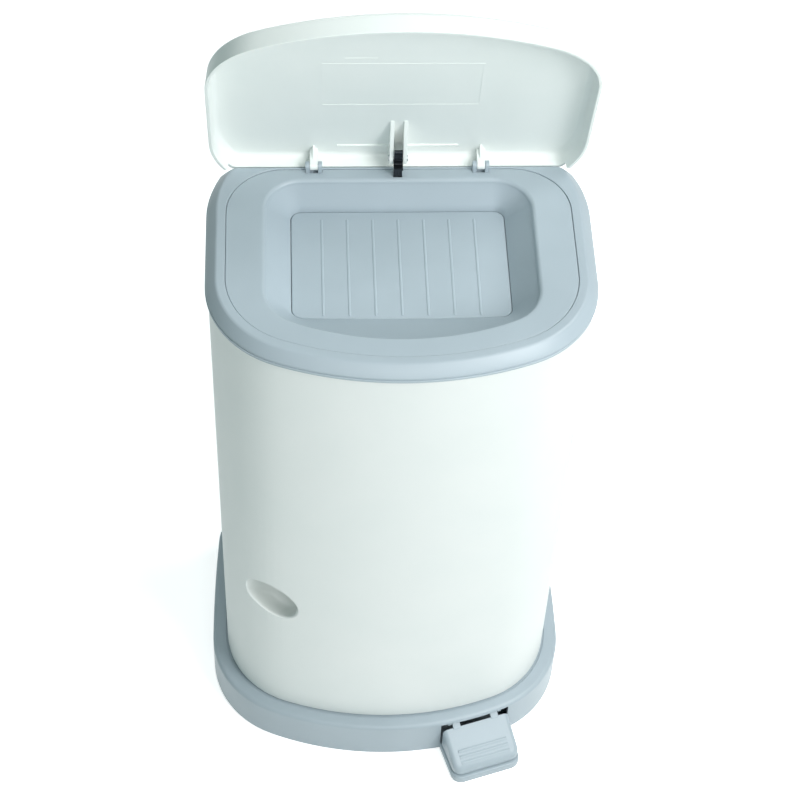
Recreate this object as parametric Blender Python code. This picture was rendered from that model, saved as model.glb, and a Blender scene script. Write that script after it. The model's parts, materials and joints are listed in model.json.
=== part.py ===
import math
from collections import namedtuple

import bmesh
import bpy
from mathutils import Matrix, Vector

# Metres. The floor is z 0, the front faces -Y and the lid stands open.

# Fits shared by all pieces
GAP = 0.0003
CLEARANCE = 0.0005
OVERRUN = 0.002
WALL = 0.0025

# Levels
PAD_PROUD = 0.001
BASE_HEIGHT = 0.0439
DECK_HEIGHT = 0.5387
COLLAR_HEIGHT = 0.0124
COLLAR_LOW = DECK_HEIGHT - COLLAR_HEIGHT

# Steps of the curves
FRONT_STEPS = 6
CORNER_STEPS = 7
REAR_STEPS = 3
BLEND_STEPS = 3
ROLL_STEPS = 4
EAR_STEPS = 8
ROUND_STEPS = 14
SCREW_STEPS = 10
WIRE_STEPS = 5

# Plan of the collar, the body and the lid
COLLAR_HALF_WIDTH = 0.1465
COLLAR_FRONT = -0.0884
COLLAR_BACK = 0.1176
FRONT_ARC = 0.269
FRONT_CORNER = 0.080
REAR_SHOULDER = 0.0436
REAR_CORNER = 0.087
REAR_BLEND = 0.006
BODY_OUTSET = 0.0064
LID_OUTSET = 0.0058
COLLAR_OUTSET = 0.0016
SHOULDER = COLLAR_BACK - REAR_SHOULDER
BODY_BACK = COLLAR_BACK + BODY_OUTSET
LID_BACK = COLLAR_BACK + LID_OUTSET

# Plan of the base, which flares out round the body
BASE_SIDE_FLARE = 0.0119
BASE_FRONT_FLARE = 0.0117
BASE_BACK_FLARE = 0.0082
BASE_ARC = 0.273
BASE_CORNER = 0.0856
BASE_SIDE_STRAIGHT = 0.004
BASE_SIDE_ARC = 1.4074
BASE_REAR_CORNER = 0.022
BASE_HALF_WIDTH = COLLAR_HALF_WIDTH + BASE_SIDE_FLARE
BASE_FRONT = COLLAR_FRONT - BASE_FRONT_FLARE
BASE_BACK = BODY_BACK + BASE_BACK_FLARE

# Base plinth
BASE_WALL = 0.003
BASE_TOP_THICKNESS = 0.003
BASE_ROLL = 0.004
BOSS_RADIUS = 0.0038
BOSS_DEPTH = 0.012

# Bottom plate, its tongue and the pads
PLATE_THICKNESS = 0.0025
TONGUE_HALF_WIDTH = 0.0323
TONGUE_REACH = 0.0385
TONGUE_CORNER = 0.009
TONGUE_HEIGHT = 0.008
TONGUE_EDGE = 0.0015
TONGUE_ROOT = 0.014
PAD_RADIUS = 0.009
PAD_POCKET = 0.0013
PLATE_RECESS = 0.0014
PAD_SIDE_INSET = 0.0484
PAD_FRONT_INSET = 0.0651
PAD_BACK_INSET = 0.0342
PAD_X = BASE_HALF_WIDTH - PAD_SIDE_INSET
PAD_FRONT_Y = BASE_FRONT + PAD_FRONT_INSET
PAD_BACK_Y = BASE_BACK - PAD_BACK_INSET

# Pedal tread, in a frame on the front wall
PEDAL_SIDE_INSET = 0.0797
PEDAL_X = BASE_HALF_WIDTH - PEDAL_SIDE_INSET
SLOT_BRIDGE = 0.0039
SLOT_TOP = BASE_HEIGHT - SLOT_BRIDGE
SLOT_DEPTH = 0.010
TREAD_HALF_WIDTH = 0.030
TREAD_REACH = 0.0355
TREAD_BACK = 0.0008
TREAD_CORNER = 0.008
TREAD_HEADROOM = 0.0055
TREAD_REAR_TOP = SLOT_TOP - TREAD_HEADROOM
TREAD_FOOT_GAP = 0.0013
TREAD_LOW = PAD_PROUD + TONGUE_HEIGHT + TREAD_FOOT_GAP
TREAD_FRONT_RISE = 0.0079
TREAD_SLOPE = (TREAD_REAR_TOP - TREAD_LOW - TREAD_FRONT_RISE) / (TREAD_REACH - TREAD_BACK)
TREAD_ROLL = 0.0045
TREAD_WALL = 0.0022
TREAD_RIB_WIDTH = 0.002
TREAD_RIB_HEIGHT = 0.0006
TREAD_RIB_LENGTH = 0.046
TREAD_RIB_PITCH = 0.0048
TREAD_RIB_FIRST = 0.0195
TREAD_RIBS = 3
ARM_X = 0.018
ARM_WIDTH = 0.007
ARM_RADIUS = 0.0026
PEDAL_PIN_DEPTH = 0.0045
PEDAL_PIN_DROP = 0.0035
PEDAL_PIN_Z = SLOT_TOP - PEDAL_PIN_DROP
PEDAL_PIN_RADIUS = 0.0012
PEDAL_PIN_HALF = 0.0253
PEDAL_EAR_INNER = 0.0222
PEDAL_EAR_DROP = 0.0029
PEDAL_EAR_LOW = PEDAL_PIN_Z - PEDAL_EAR_DROP
PEDAL_EAR_FRONT = 0.0024
PEDAL_EAR_BACK = 0.0075

# Pedal lever under the floor
LEVER_WIDTH = 0.012
LEVER_THICKNESS = 0.003
LEVER_TIP_RADIUS = 0.0025
LEVER_TIP_GAP = 0.00082
LEVER_REACH = 0.0263
TREAD_UNDER_Z = TREAD_REAR_TOP - TREAD_SLOPE * (LEVER_REACH - TREAD_BACK) - TREAD_WALL
LEVER_TIP_Z = TREAD_UNDER_Z - LEVER_TIP_RADIUS - LEVER_TIP_GAP
LEVER_END_Z = 0.020
LEVER_PIVOT_SHARE = 0.534
LEVER_TIP_SHARE = 0.9
LEVER_HUB_SHARE = 1.03
LEVER_HUB_RADIUS = 0.0045
LEVER_PIN_RADIUS = 0.002
LEVER_EAR_WIDTH = 0.003
LEVER_EAR_RADIUS = 0.005
LEVER_END_OVERHANG = 0.006

# Push rod, its guides and its cover
ROD_INSET = 0.0106
ROD_Y = COLLAR_BACK - ROD_INSET
ROD_WIDTH = 0.0066
ROD_THICKNESS = 0.002
ROD_HEAD_DEPTH = 0.012
ROD_HEAD_THICKNESS = 0.002
ROD_HEAD_RISE = 0.0132
ROD_PLAY = 0.0004
GUIDE_WIDTH = 0.016
GUIDE_INSET = 0.0025
GUIDE_HEIGHT = 0.010
GUIDE_LOW_Z = 0.090
GUIDE_DROP = 0.1087
GUIDE_HIGH_Z = DECK_HEIGHT - GUIDE_DROP
COVER_WIDTH = 0.022
COVER_INSET = 0.0055
COVER_WALL = 0.0018
COVER_DROP = 0.006

# Rear frame and front door
SPLIT_INSET = 0.002
SPLIT_Y = SHOULDER - SPLIT_INSET
TOP_INSET = 0.0006
BOTTOM_INSET = 0.0016
FRAME_FLANGE = 0.014
DOOR_FLANGE = 0.0055
DOOR_GAP = 0.0006
HINGE_SIDE_INSET = 0.006
HINGE_FRONT_INSET = 0.006
HINGE_X = COLLAR_HALF_WIDTH - HINGE_SIDE_INSET
HINGE_Y = SPLIT_Y - HINGE_FRONT_INSET
HINGE_RADIUS = 0.0044
DOOR_PIN_RADIUS = 0.002
DOOR_PIN_INSIDE = 0.012
DOOR_PIN_OUTSIDE = 0.006
DOOR_LIP = 0.004
DOOR_LIP_THICKNESS = 0.0025
CATCH_WIDTH = 0.009
CATCH_LENGTH = 0.011
CATCH_HEIGHT = 0.040
CATCH_Z = 0.185
CATCH_NOSE = 0.003
CATCH_NOSE_REACH = 0.010

# Finger recess in the door, as shares of its half sizes
RECESS_Z = 0.2055
RECESS_TURN = math.radians(27.8)
RECESS_HALF_WIDTH = 0.0263
RECESS_HALF_HEIGHT = 0.0216
RECESS_DEPTH = 0.013
RECESS_WALL = 0.0025
RECESS_SHARES = [
    (-1.00, 0.09), (-0.88, 0.44), (-0.71, 0.69), (-0.31, 0.94), (0.06, 0.97),
    (0.39, 0.80), (0.61, 0.58), (0.79, 0.25), (0.88, -0.13), (0.85, -0.50),
    (0.68, -0.81), (0.44, -0.99), (0.17, -1.00), (-0.12, -0.93), (-0.41, -0.79),
    (-0.73, -0.64), (-0.95, -0.44),
]
RECESS_PROFILE_SHARES = [
    (-0.60, 1.00), (0.00, 1.00), (0.30, 0.95), (0.60, 0.84), (0.85, 0.64), (1.00, 0.36),
]

# Top collar
BEAD_HEIGHT = 0.002
BEAD_PROUD = 0.0005
COLLAR_ROLL = 0.0085
BACK_ROLL_SHARE = 0.26
CREASE_INSET = 0.0137
CREASE_BACK_INSET = 0.0031
CREASE_CORNER = 0.045
LEDGE_WIDTH = 0.004
LEDGE_THICKNESS = 0.0025

# Deck with the funnel
DECK_THICKNESS = 0.003
RIM_SIDE_MARGIN = 0.0448
RIM_FRONT_MARGIN = 0.0334
RIM_BACK_MARGIN = 0.0156
RIM_ARC = 0.210
RIM_FRONT_CORNER = 0.033
RIM_REAR_CORNER = 0.028
RIM_ROLL = 0.002
SIDE_SLOPE = 0.0182
FRONT_SLOPE = 0.037
BACK_SLOPE = 0.010
FLOOR_ARC = 2.0
FLOOR_CORNER = 0.006
FLOOR_DEPTH = 0.025
THROAT_DEPTH = 0.014
THROAT_WALL = 0.0022
POST_RADIUS = 0.0035
POST_OUTSET = 0.0285
POST_BACK_INSET = 0.012
POST_DROP = 0.0482
RIM_HALF_WIDTH = COLLAR_HALF_WIDTH - RIM_SIDE_MARGIN
RIM_FRONT = COLLAR_FRONT + RIM_FRONT_MARGIN
RIM_BACK = COLLAR_BACK - RIM_BACK_MARGIN
FLOOR_HALF_WIDTH = RIM_HALF_WIDTH - SIDE_SLOPE
FLOOR_FRONT = RIM_FRONT + FRONT_SLOPE
FLOOR_BACK = RIM_BACK - BACK_SLOPE
POST_X = FLOOR_HALF_WIDTH + POST_OUTSET
POST_LOW = DECK_HEIGHT - POST_DROP

# Trap flap, its pin and its spring
FLAP_CLEARANCE = 0.0008
FLAP_THICKNESS = 0.0022
FLAP_GROOVES = 7
FLAP_GROOVE_MARGIN = 0.0241
FLAP_GROOVE_WIDTH = 0.0018
FLAP_GROOVE_DEPTH = 0.0007
FLAP_PIN_INSET = 0.0045
FLAP_PIN_Y = FLOOR_BACK - FLAP_PIN_INSET
FLAP_PIN_DROP = 0.006
FLAP_PIN_RADIUS = 0.0015
FLAP_KNUCKLE_RADIUS = 0.003
FLAP_KNUCKLE_WIDTH = 0.008
FLAP_KNUCKLE_INSET = 0.0135
SPRING_RADIUS = 0.0024
SPRING_WIRE = 0.00045
SPRING_PITCH = 0.0012
SPRING_TURNS = 5
SPRING_STEPS = 8
SPRING_LEG = 0.012

# Liner magazine and film cutter
MAGAZINE_TOP = POST_LOW - CLEARANCE
MAGAZINE_HEIGHT = 0.032
MAGAZINE_WALL = 0.002
MAGAZINE_INNER_DROP = 0.003
MAGAZINE_THROAT_GAP = 0.0015
MAGAZINE_TROUGH = 0.016
MAGAZINE_ROD_GAP = 0.003
MAGAZINE_OUTER_CORNER = 0.014
LUG_RADIUS = 0.0055
CUTTER_X = 0.045
CUTTER_LENGTH = 0.056
CUTTER_DEPTH = 0.009
CUTTER_HEIGHT = 0.016
CUTTER_SLOT = 0.003
BLADE_THICKNESS = 0.0006
BLADE_LENGTH = 0.012
BLADE_HEIGHT = 0.010

# Lid, built shut and then turned open about its hinge
LID_OPENING = math.radians(-74.5)
LID_GAP = 0.0005
LID_HEIGHT = 0.0191
LID_INSET = 0.0017
LID_FRONT_INSET = 0.0044
LID_CORNER = 0.063
LID_TAPER = 0.0015
LID_ROLL = 0.006
LID_WALL = 0.0025
LID_INNER_ROLL = 0.005
LID_HINGE_INSET = 0.0036
LID_HINGE_Y = COLLAR_BACK - LID_HINGE_INSET
LID_HINGE_RISE = 0.004
LID_SKIRT_CUT = 0.0065
EAR_X = 0.065
EAR_SPREAD = 0.013
EAR_WIDTH = 0.0032
EAR_RADIUS = 0.0034
EAR_ROOT = 0.0045
TAB_WIDTH = 0.006
LID_PIN_RADIUS = 0.0015
CHEEK_GAP = 0.0075
CHEEK_WIDTH = 0.003
CHEEK_REACH = 0.0395
CHEEK_LOW = 0.0008
CROSS_ARM = 0.0114
CROSS_PIN_RADIUS = 0.0015
CHEEK_RADIUS = 0.0032
RIB_REACH = 0.047
RIB_HEIGHT = 0.0055
RIB_WIDTH = 0.0018
PANEL_HALF_WIDTH = 0.0595
PANEL_FRONT_MARGIN = 0.0774
PANEL_DEPTH = 0.058
PANEL_LINE = 0.0012
PANEL_PROUD = 0.0005
MARK_MARGIN = 0.0118
MARK_LEFT = -0.043
MARK_LENGTH = 0.024

# Screws
SCREW_HEAD_RADIUS = 0.0032
SCREW_HEAD_HEIGHT = 0.0018
SCREW_RADIUS = 0.0014
SCREW_LENGTH = 0.009
SCREW_RECESS_RADIUS = 0.0038
FIX_REAR_SIDE_INSET = 0.0515
FIX_REAR_INSET = 0.0105
FIX_SIDE_INSET = 0.0125
FIX_SIDE_BACK_INSET = 0.035
PLATE_FIX_SIDE_INSET = 0.0363
PLATE_FIX_FRONT_INSET = 0.0901
PLATE_FIX_BACK_INSET = 0.0572

Outline = namedtuple(
    "Outline",
    "half_width front back front_arc front_corner shoulder rear_corner blend",
)


def plan(half_width, front, back, front_arc, front_corner, rear_corner):
    """A D with one arc at each rear corner."""
    shoulder = back - rear_corner
    return Outline(
        half_width, front, back, front_arc, front_corner, shoulder, rear_corner, rear_corner
    )


TOP_PLAN = Outline(
    COLLAR_HALF_WIDTH, COLLAR_FRONT, COLLAR_BACK, FRONT_ARC, FRONT_CORNER,
    SHOULDER, REAR_CORNER, REAR_BLEND,
)
BODY_PLAN = TOP_PLAN._replace(back=BODY_BACK)
CREASE_PLAN = plan(
    COLLAR_HALF_WIDTH - CREASE_INSET, COLLAR_FRONT + CREASE_INSET,
    COLLAR_BACK - CREASE_BACK_INSET,
    FRONT_ARC - CREASE_INSET, FRONT_CORNER - CREASE_INSET, CREASE_CORNER,
)
RIM_PLAN = plan(
    RIM_HALF_WIDTH, RIM_FRONT, RIM_BACK, RIM_ARC, RIM_FRONT_CORNER, RIM_REAR_CORNER
)
FLOOR_PLAN = plan(
    FLOOR_HALF_WIDTH, FLOOR_FRONT, FLOOR_BACK, FLOOR_ARC, FLOOR_CORNER, FLOOR_CORNER
)
LID_PLAN = Outline(
    COLLAR_HALF_WIDTH - LID_INSET, COLLAR_FRONT + LID_FRONT_INSET, LID_BACK,
    FRONT_ARC, LID_CORNER, SHOULDER, REAR_CORNER - LID_INSET, REAR_BLEND,
)

# Colours
GREY = (0.45, 0.54, 0.61)
DARK_GREY = (0.16, 0.18, 0.20)
WHITE = (0.84, 0.87, 0.86)
STEEL = (0.50, 0.51, 0.53)
DARK_STEEL = (0.10, 0.11, 0.12)
RUBBER = (0.03, 0.03, 0.035)


def inset(outline, amount, back_amount=None):
    """The outline moved inwards, by another amount at its back edge if given."""
    moved_back = amount if back_amount is None else back_amount
    one_arc = outline.blend == outline.rear_corner
    rear_corner = outline.rear_corner - amount
    return Outline(
        outline.half_width - amount,
        outline.front + amount,
        outline.back - moved_back,
        outline.front_arc - amount,
        outline.front_corner - amount,
        outline.shoulder,
        rear_corner,
        rear_corner if one_arc else outline.blend,
    )


def corners(outline):
    """Points of an outline, anticlockwise from the middle of the front."""
    arc_y = outline.front + outline.front_arc
    corner_x, corner_y = corner_centre(outline)
    turn = math.atan2(corner_x, arc_y - corner_y)
    rear_x = outline.half_width - outline.rear_corner
    blend_y = outline.back - outline.blend
    span = outline.rear_corner - outline.blend
    if span == 0:
        lean = math.pi / 4
        blend_x = rear_x
    else:
        lean = math.asin((blend_y - outline.shoulder) / span)
        blend_x = rear_x + span * math.cos(lean)
    right = []
    for step in range(FRONT_STEPS + 1):
        angle = turn * step / FRONT_STEPS
        right.append(arc_point(0, arc_y, outline.front_arc, angle - math.pi / 2))
    for step in range(1, CORNER_STEPS + 1):
        angle = turn + (math.pi / 2 - turn) * step / CORNER_STEPS
        right.append(arc_point(corner_x, corner_y, outline.front_corner, angle - math.pi / 2))
    for step in range(REAR_STEPS + 1):
        angle = lean * step / REAR_STEPS
        right.append(arc_point(rear_x, outline.shoulder, outline.rear_corner, angle))
    for step in range(1, BLEND_STEPS + 1):
        angle = lean + (math.pi / 2 - lean) * step / BLEND_STEPS
        right.append(arc_point(blend_x, blend_y, outline.blend, angle))
    left = [(-x, y) for x, y in reversed(right[1:])]
    return right + left


def corner_centre(outline):
    """Centre of the right front corner's arc."""
    x = outline.half_width - outline.front_corner
    reach = outline.front_arc - outline.front_corner
    return (x, outline.front + outline.front_arc - math.sqrt(reach**2 - x**2))


def arc_point(x, y, radius, angle):
    return (x + radius * math.cos(angle), y + radius * math.sin(angle))


COLLAR_PLAN = inset(TOP_PLAN, -COLLAR_OUTSET, 0)


def base_plan():
    """The base: its sides draw in slowly towards the back."""
    outline = Outline(
        BASE_HALF_WIDTH, BASE_FRONT, BASE_BACK, BASE_ARC, BASE_CORNER,
        0, BASE_SIDE_ARC, BASE_REAR_CORNER,
    )
    return outline._replace(shoulder=corner_centre(outline)[1] + BASE_SIDE_STRAIGHT)


BASE_PLAN = base_plan()


def level(outline, z):
    """A closed ring of 3D points at one height."""
    return [(x, y, z) for x, y in corners(outline)]


def rolled(outline, top, radius, back_share=1.0):
    """Rings of a quarter-round edge that ends at the height top."""
    rings = []
    for step in range(ROLL_STEPS + 1):
        angle = math.pi / 2 * step / ROLL_STEPS
        amount = radius * (1 - math.cos(angle))
        z = top - radius + radius * math.sin(angle)
        rings.append(level(inset(outline, amount, amount * back_share), z))
    return rings


def new_object(name, mesh):
    piece = bpy.data.objects.new(name, mesh)
    bpy.context.scene.collection.objects.link(piece)
    return piece


def loft(name, rings, closed=False):
    """Skin between rings of equal length; open lofts get flat ends."""
    count = len(rings[0])
    points = [point for ring in rings for point in ring]
    faces = []
    last = len(rings) if closed else len(rings) - 1
    for row in range(last):
        low = row * count
        high = (row + 1) % len(rings) * count
        for column in range(count):
            after = (column + 1) % count
            faces.append((low + column, low + after, high + after, high + column))
    if not closed:
        faces.append(tuple(range(count)))
        faces.append(tuple(range(len(points) - count, len(points))))
    mesh = bpy.data.meshes.new(name)
    mesh.from_pydata(points, [], faces)
    shape = bmesh.new()
    shape.from_mesh(mesh)
    bmesh.ops.recalc_face_normals(shape, faces=shape.faces)
    shape.to_mesh(mesh)
    shape.free()
    return new_object(name, mesh)


def box(name, low, high):
    x0, y0, z0 = low
    x1, y1, z1 = high
    rings = []
    for z in (z0, z1):
        rings.append([(x0, y0, z), (x1, y0, z), (x1, y1, z), (x0, y1, z)])
    return loft(name, rings)


def disc(start, axis, radius, steps):
    """A ring of points about an axis through start."""
    axis = Vector(axis).normalized()
    side = axis.orthogonal().normalized()
    other = axis.cross(side)
    ring = []
    for step in range(steps):
        angle = 2 * math.pi * step / steps
        offset = side * math.cos(angle) + other * math.sin(angle)
        ring.append(tuple(Vector(start) + offset * radius))
    return ring


def rod(name, start, end, radius, steps=ROUND_STEPS):
    axis = Vector(end) - Vector(start)
    return loft(name, [disc(start, axis, radius, steps), disc(end, axis, radius, steps)])


def ear(name, near, far, radius, root):
    """A round-ended web about the line near-far, its square end at root from it."""
    near = Vector(near)
    far = Vector(far)
    root = Vector(root)
    down = root.normalized()
    side = (far - near).normalized().cross(down) * radius
    offsets = []
    for step in range(EAR_STEPS + 1):
        angle = math.pi * step / EAR_STEPS
        offsets.append(side * math.cos(angle) - down * radius * math.sin(angle))
    offsets += [root - side, root + side]
    return loft(name, [[tuple(end + offset) for offset in offsets] for end in (near, far)])


def across(name, profile, x0, x1):
    """A side profile of (y, z) points stretched along X."""
    rings = [[(x, y, z) for y, z in profile] for x in (x0, x1)]
    return loft(name, rings)


def combine(target, operation, tools):
    for tool in tools:
        modifier = target.modifiers.new(operation, "BOOLEAN")
        modifier.operation = operation
        modifier.solver = "EXACT"
        modifier.object = tool
        graph = bpy.context.evaluated_depsgraph_get()
        mesh = bpy.data.meshes.new_from_object(target.evaluated_get(graph))
        target.modifiers.clear()
        target.data = mesh
        bpy.data.objects.remove(tool)
    return target


def join(target, *tools):
    return combine(target, "UNION", tools)


def cut(target, *tools):
    return combine(target, "DIFFERENCE", tools)


def keep(target, *tools):
    return combine(target, "INTERSECT", tools)


def place(piece, matrix):
    piece.data.transform(matrix)
    return piece


def set_origin(piece, point):
    """Put the origin on the joint axis without moving the shape."""
    piece.data.transform(Matrix.Translation(-Vector(point)))
    piece.location = point


def finish(piece, colour, roughness, metallic=0.0, angle=32):
    material = bpy.data.materials.new(piece.name)
    material.use_nodes = True
    shader = material.node_tree.nodes["Principled BSDF"]
    shader.inputs["Base Color"].default_value = (*colour, 1.0)
    shader.inputs["Roughness"].default_value = roughness
    shader.inputs["Metallic"].default_value = metallic
    piece.data.materials.clear()
    piece.data.materials.append(material)
    piece.data.shade_smooth()
    piece.data.set_sharp_from_angle(angle=math.radians(angle))
    return piece


def plastic(piece, colour):
    return finish(piece, colour, 0.38)


def metal(piece, colour=STEEL):
    return finish(piece, colour, 0.30, 1.0)


def tray(outline, ceiling, low, outer_rings, wall):
    """Rings of an upside-down tray: ceiling, inner wall, then the outside."""
    inner = inset(outline, wall)
    return [level(inner, ceiling), level(inner, low)] + outer_rings


# Pedal frame: along the wall, up, and outwards
PEDAL_TURN = math.asin(PEDAL_X / BASE_ARC)
PEDAL_Y = BASE_FRONT + BASE_ARC - BASE_ARC * math.cos(PEDAL_TURN)
PEDAL_FRAME = Matrix.Translation((PEDAL_X, PEDAL_Y, 0)) @ Matrix.Rotation(PEDAL_TURN, 4, "Z")


def pedal_box(name, half_width, near, far, low, high):
    """A box in the pedal frame; near and far count outwards."""
    piece = box(name, (-half_width, -far, low), (half_width, -near, high))
    return place(piece, PEDAL_FRAME)


def pedal_point(along, outwards, z):
    return PEDAL_FRAME @ Vector((along, -outwards, z))


def hinge_ears():
    """Places of the two lid hinges."""
    return (-EAR_X, EAR_X)


def frame_fixes():
    places = []
    for side in (-1, 1):
        rear_x = COLLAR_HALF_WIDTH - FIX_REAR_SIDE_INSET
        places.append((side * rear_x, BODY_BACK - FIX_REAR_INSET))
        side_x = COLLAR_HALF_WIDTH - FIX_SIDE_INSET
        places.append((side * side_x, BODY_BACK - FIX_SIDE_BACK_INSET))
    return places


def plate_fixes():
    places = []
    for side in (-1, 1):
        x = side * (BASE_HALF_WIDTH - PLATE_FIX_SIDE_INSET)
        places.append((x, BASE_FRONT + PLATE_FIX_FRONT_INSET))
        places.append((x, BASE_BACK - PLATE_FIX_BACK_INSET))
    return places


def posts():
    places = []
    for side in (-1, 1):
        places.append((side * POST_X, FLOOR_FRONT))
        places.append((side * POST_X, FLOOR_BACK - POST_BACK_INSET))
    return places


def pads():
    places = []
    for side in (-1, 1):
        places.append((side * PAD_X, PAD_FRONT_Y))
        places.append((side * PAD_X, PAD_BACK_Y))
    return places


CEILING = BASE_HEIGHT - BASE_TOP_THICKNESS
PLATE_TOP = PAD_PROUD + PLATE_THICKNESS
BODY_LOW = BASE_HEIGHT + GAP
BODY_HIGH = COLLAR_LOW - GAP
LID_HINGE_Z = DECK_HEIGHT + LID_HINGE_RISE
LID_LOW = DECK_HEIGHT + LID_GAP
LID_TOP = LID_LOW + LID_HEIGHT
LID_CEILING = LID_TOP - LID_WALL
LID_MATRIX = (
    Matrix.Translation((0, LID_HINGE_Y, LID_HINGE_Z))
    @ Matrix.Rotation(LID_OPENING, 4, "X")
    @ Matrix.Translation((0, -LID_HINGE_Y, -LID_HINGE_Z))
)

# Lever line from the tip under the tread to the foot of the rod
LEVER_TIP = pedal_point(0, LEVER_REACH, LEVER_TIP_Z)
LEVER_END = Vector((0, ROD_Y, LEVER_END_Z))
LEVER_PIVOT = LEVER_TIP.lerp(LEVER_END, LEVER_PIVOT_SHARE)
LEVER_RUN = (LEVER_END - LEVER_TIP).normalized()
LEVER_AXIS = Vector((LEVER_RUN.y, -LEVER_RUN.x, 0)).normalized()


def screw_hole(name, x, y, low, high):
    return rod(name, (x, y, low), (x, y, high), SCREW_RADIUS + GAP, SCREW_STEPS)


def make_screw(name, x, y, seat, way):
    """A pan-head screw whose head rests at the height seat, tip along way."""
    head = seat - way * SCREW_HEAD_HEIGHT
    tip = seat + way * SCREW_LENGTH
    axis = (0, 0, way)
    chamfer = SCREW_HEAD_HEIGHT / 2
    rings = [
        disc((x, y, head), axis, SCREW_HEAD_RADIUS - chamfer, SCREW_STEPS),
        disc((x, y, head + way * chamfer), axis, SCREW_HEAD_RADIUS, SCREW_STEPS),
        disc((x, y, seat), axis, SCREW_HEAD_RADIUS, SCREW_STEPS),
        disc((x, y, seat), axis, SCREW_RADIUS, SCREW_STEPS),
        disc((x, y, tip), axis, SCREW_RADIUS, SCREW_STEPS),
    ]
    return metal(loft(name, rings))


# Base
def make_base_plinth():
    outer = [level(BASE_PLAN, PAD_PROUD)] + rolled(BASE_PLAN, BASE_HEIGHT, BASE_ROLL)
    base = loft("base_plinth", tray(BASE_PLAN, CEILING, PAD_PROUD, outer, BASE_WALL))
    into = CEILING + BASE_TOP_THICKNESS / 2
    bosses = []
    for x, y in frame_fixes():
        bosses.append(rod("boss", (x, y, CEILING - BOSS_DEPTH), (x, y, into), BOSS_RADIUS))
    for x, y in plate_fixes():
        bosses.append(rod("boss", (x, y, PLATE_TOP + GAP), (x, y, into), BOSS_RADIUS))
    pin_boss = (HINGE_X, HINGE_Y, CEILING - BOSS_DEPTH)
    bosses.append(rod("boss", pin_boss, (HINGE_X, HINGE_Y, into), BOSS_RADIUS))
    join(base, *bosses)
    slot = TONGUE_HALF_WIDTH + CLEARANCE
    cut(base, pedal_box("slot", slot, -SLOT_DEPTH, SLOT_DEPTH, 0, SLOT_TOP))
    for side in (-1, 1):
        ear = box(
            "ear",
            (PEDAL_EAR_INNER, PEDAL_EAR_FRONT, PEDAL_EAR_LOW),
            (PEDAL_PIN_HALF, PEDAL_EAR_BACK, into),
        )
        join(base, place(ear, PEDAL_FRAME @ Matrix.Diagonal((side, 1, 1, 1))))
    start = pedal_point(-PEDAL_PIN_HALF - OVERRUN, -PEDAL_PIN_DEPTH, PEDAL_PIN_Z)
    end = pedal_point(PEDAL_PIN_HALF + OVERRUN, -PEDAL_PIN_DEPTH, PEDAL_PIN_Z)
    holes = [rod("hole", start, end, PEDAL_PIN_RADIUS + GAP / 2)]
    above = BASE_HEIGHT + OVERRUN
    for x, y in frame_fixes():
        holes.append(screw_hole("hole", x, y, CEILING - BOSS_DEPTH / 2, above))
    for x, y in plate_fixes():
        holes.append(screw_hole("hole", x, y, 0, PLATE_TOP + BOSS_DEPTH))
    pin_low = BODY_LOW - DOOR_PIN_OUTSIDE - GAP
    pin_hole = DOOR_PIN_RADIUS + GAP / 2
    holes.append(rod("hole", (HINGE_X, HINGE_Y, pin_low), (HINGE_X, HINGE_Y, above), pin_hole))
    side = ROD_WIDTH / 2 + ROD_PLAY
    deep = ROD_THICKNESS / 2 + ROD_PLAY
    low = (-side, ROD_Y - deep, CEILING - OVERRUN)
    holes.append(box("hole", low, (side, ROD_Y + deep, above)))
    return plastic(cut(base, *holes), GREY)


def tongue_ring(amount, z):
    """Outline of the tongue in the pedal frame."""
    half = TONGUE_HALF_WIDTH - amount
    corner = TONGUE_CORNER - amount
    reach = TONGUE_REACH - amount
    return pedal_ring(half, corner, -TONGUE_ROOT, reach, [z, z])


def pedal_ring(half, corner, back, reach, heights):
    """A rectangle with two round front corners; heights at its back and front."""
    points = [(half, back)]
    for step in range(BLEND_STEPS + 1):
        angle = math.pi / 2 * step / BLEND_STEPS
        points.append(arc_point(half - corner, reach - corner, corner, angle))
    points += [(-along, outwards) for along, outwards in reversed(points)]
    ring = []
    for along, outwards in points:
        share = (outwards - back) / (reach - back)
        z = heights[0] + (heights[1] - heights[0]) * share
        ring.append(tuple(pedal_point(along, outwards, z)))
    return ring


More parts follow.
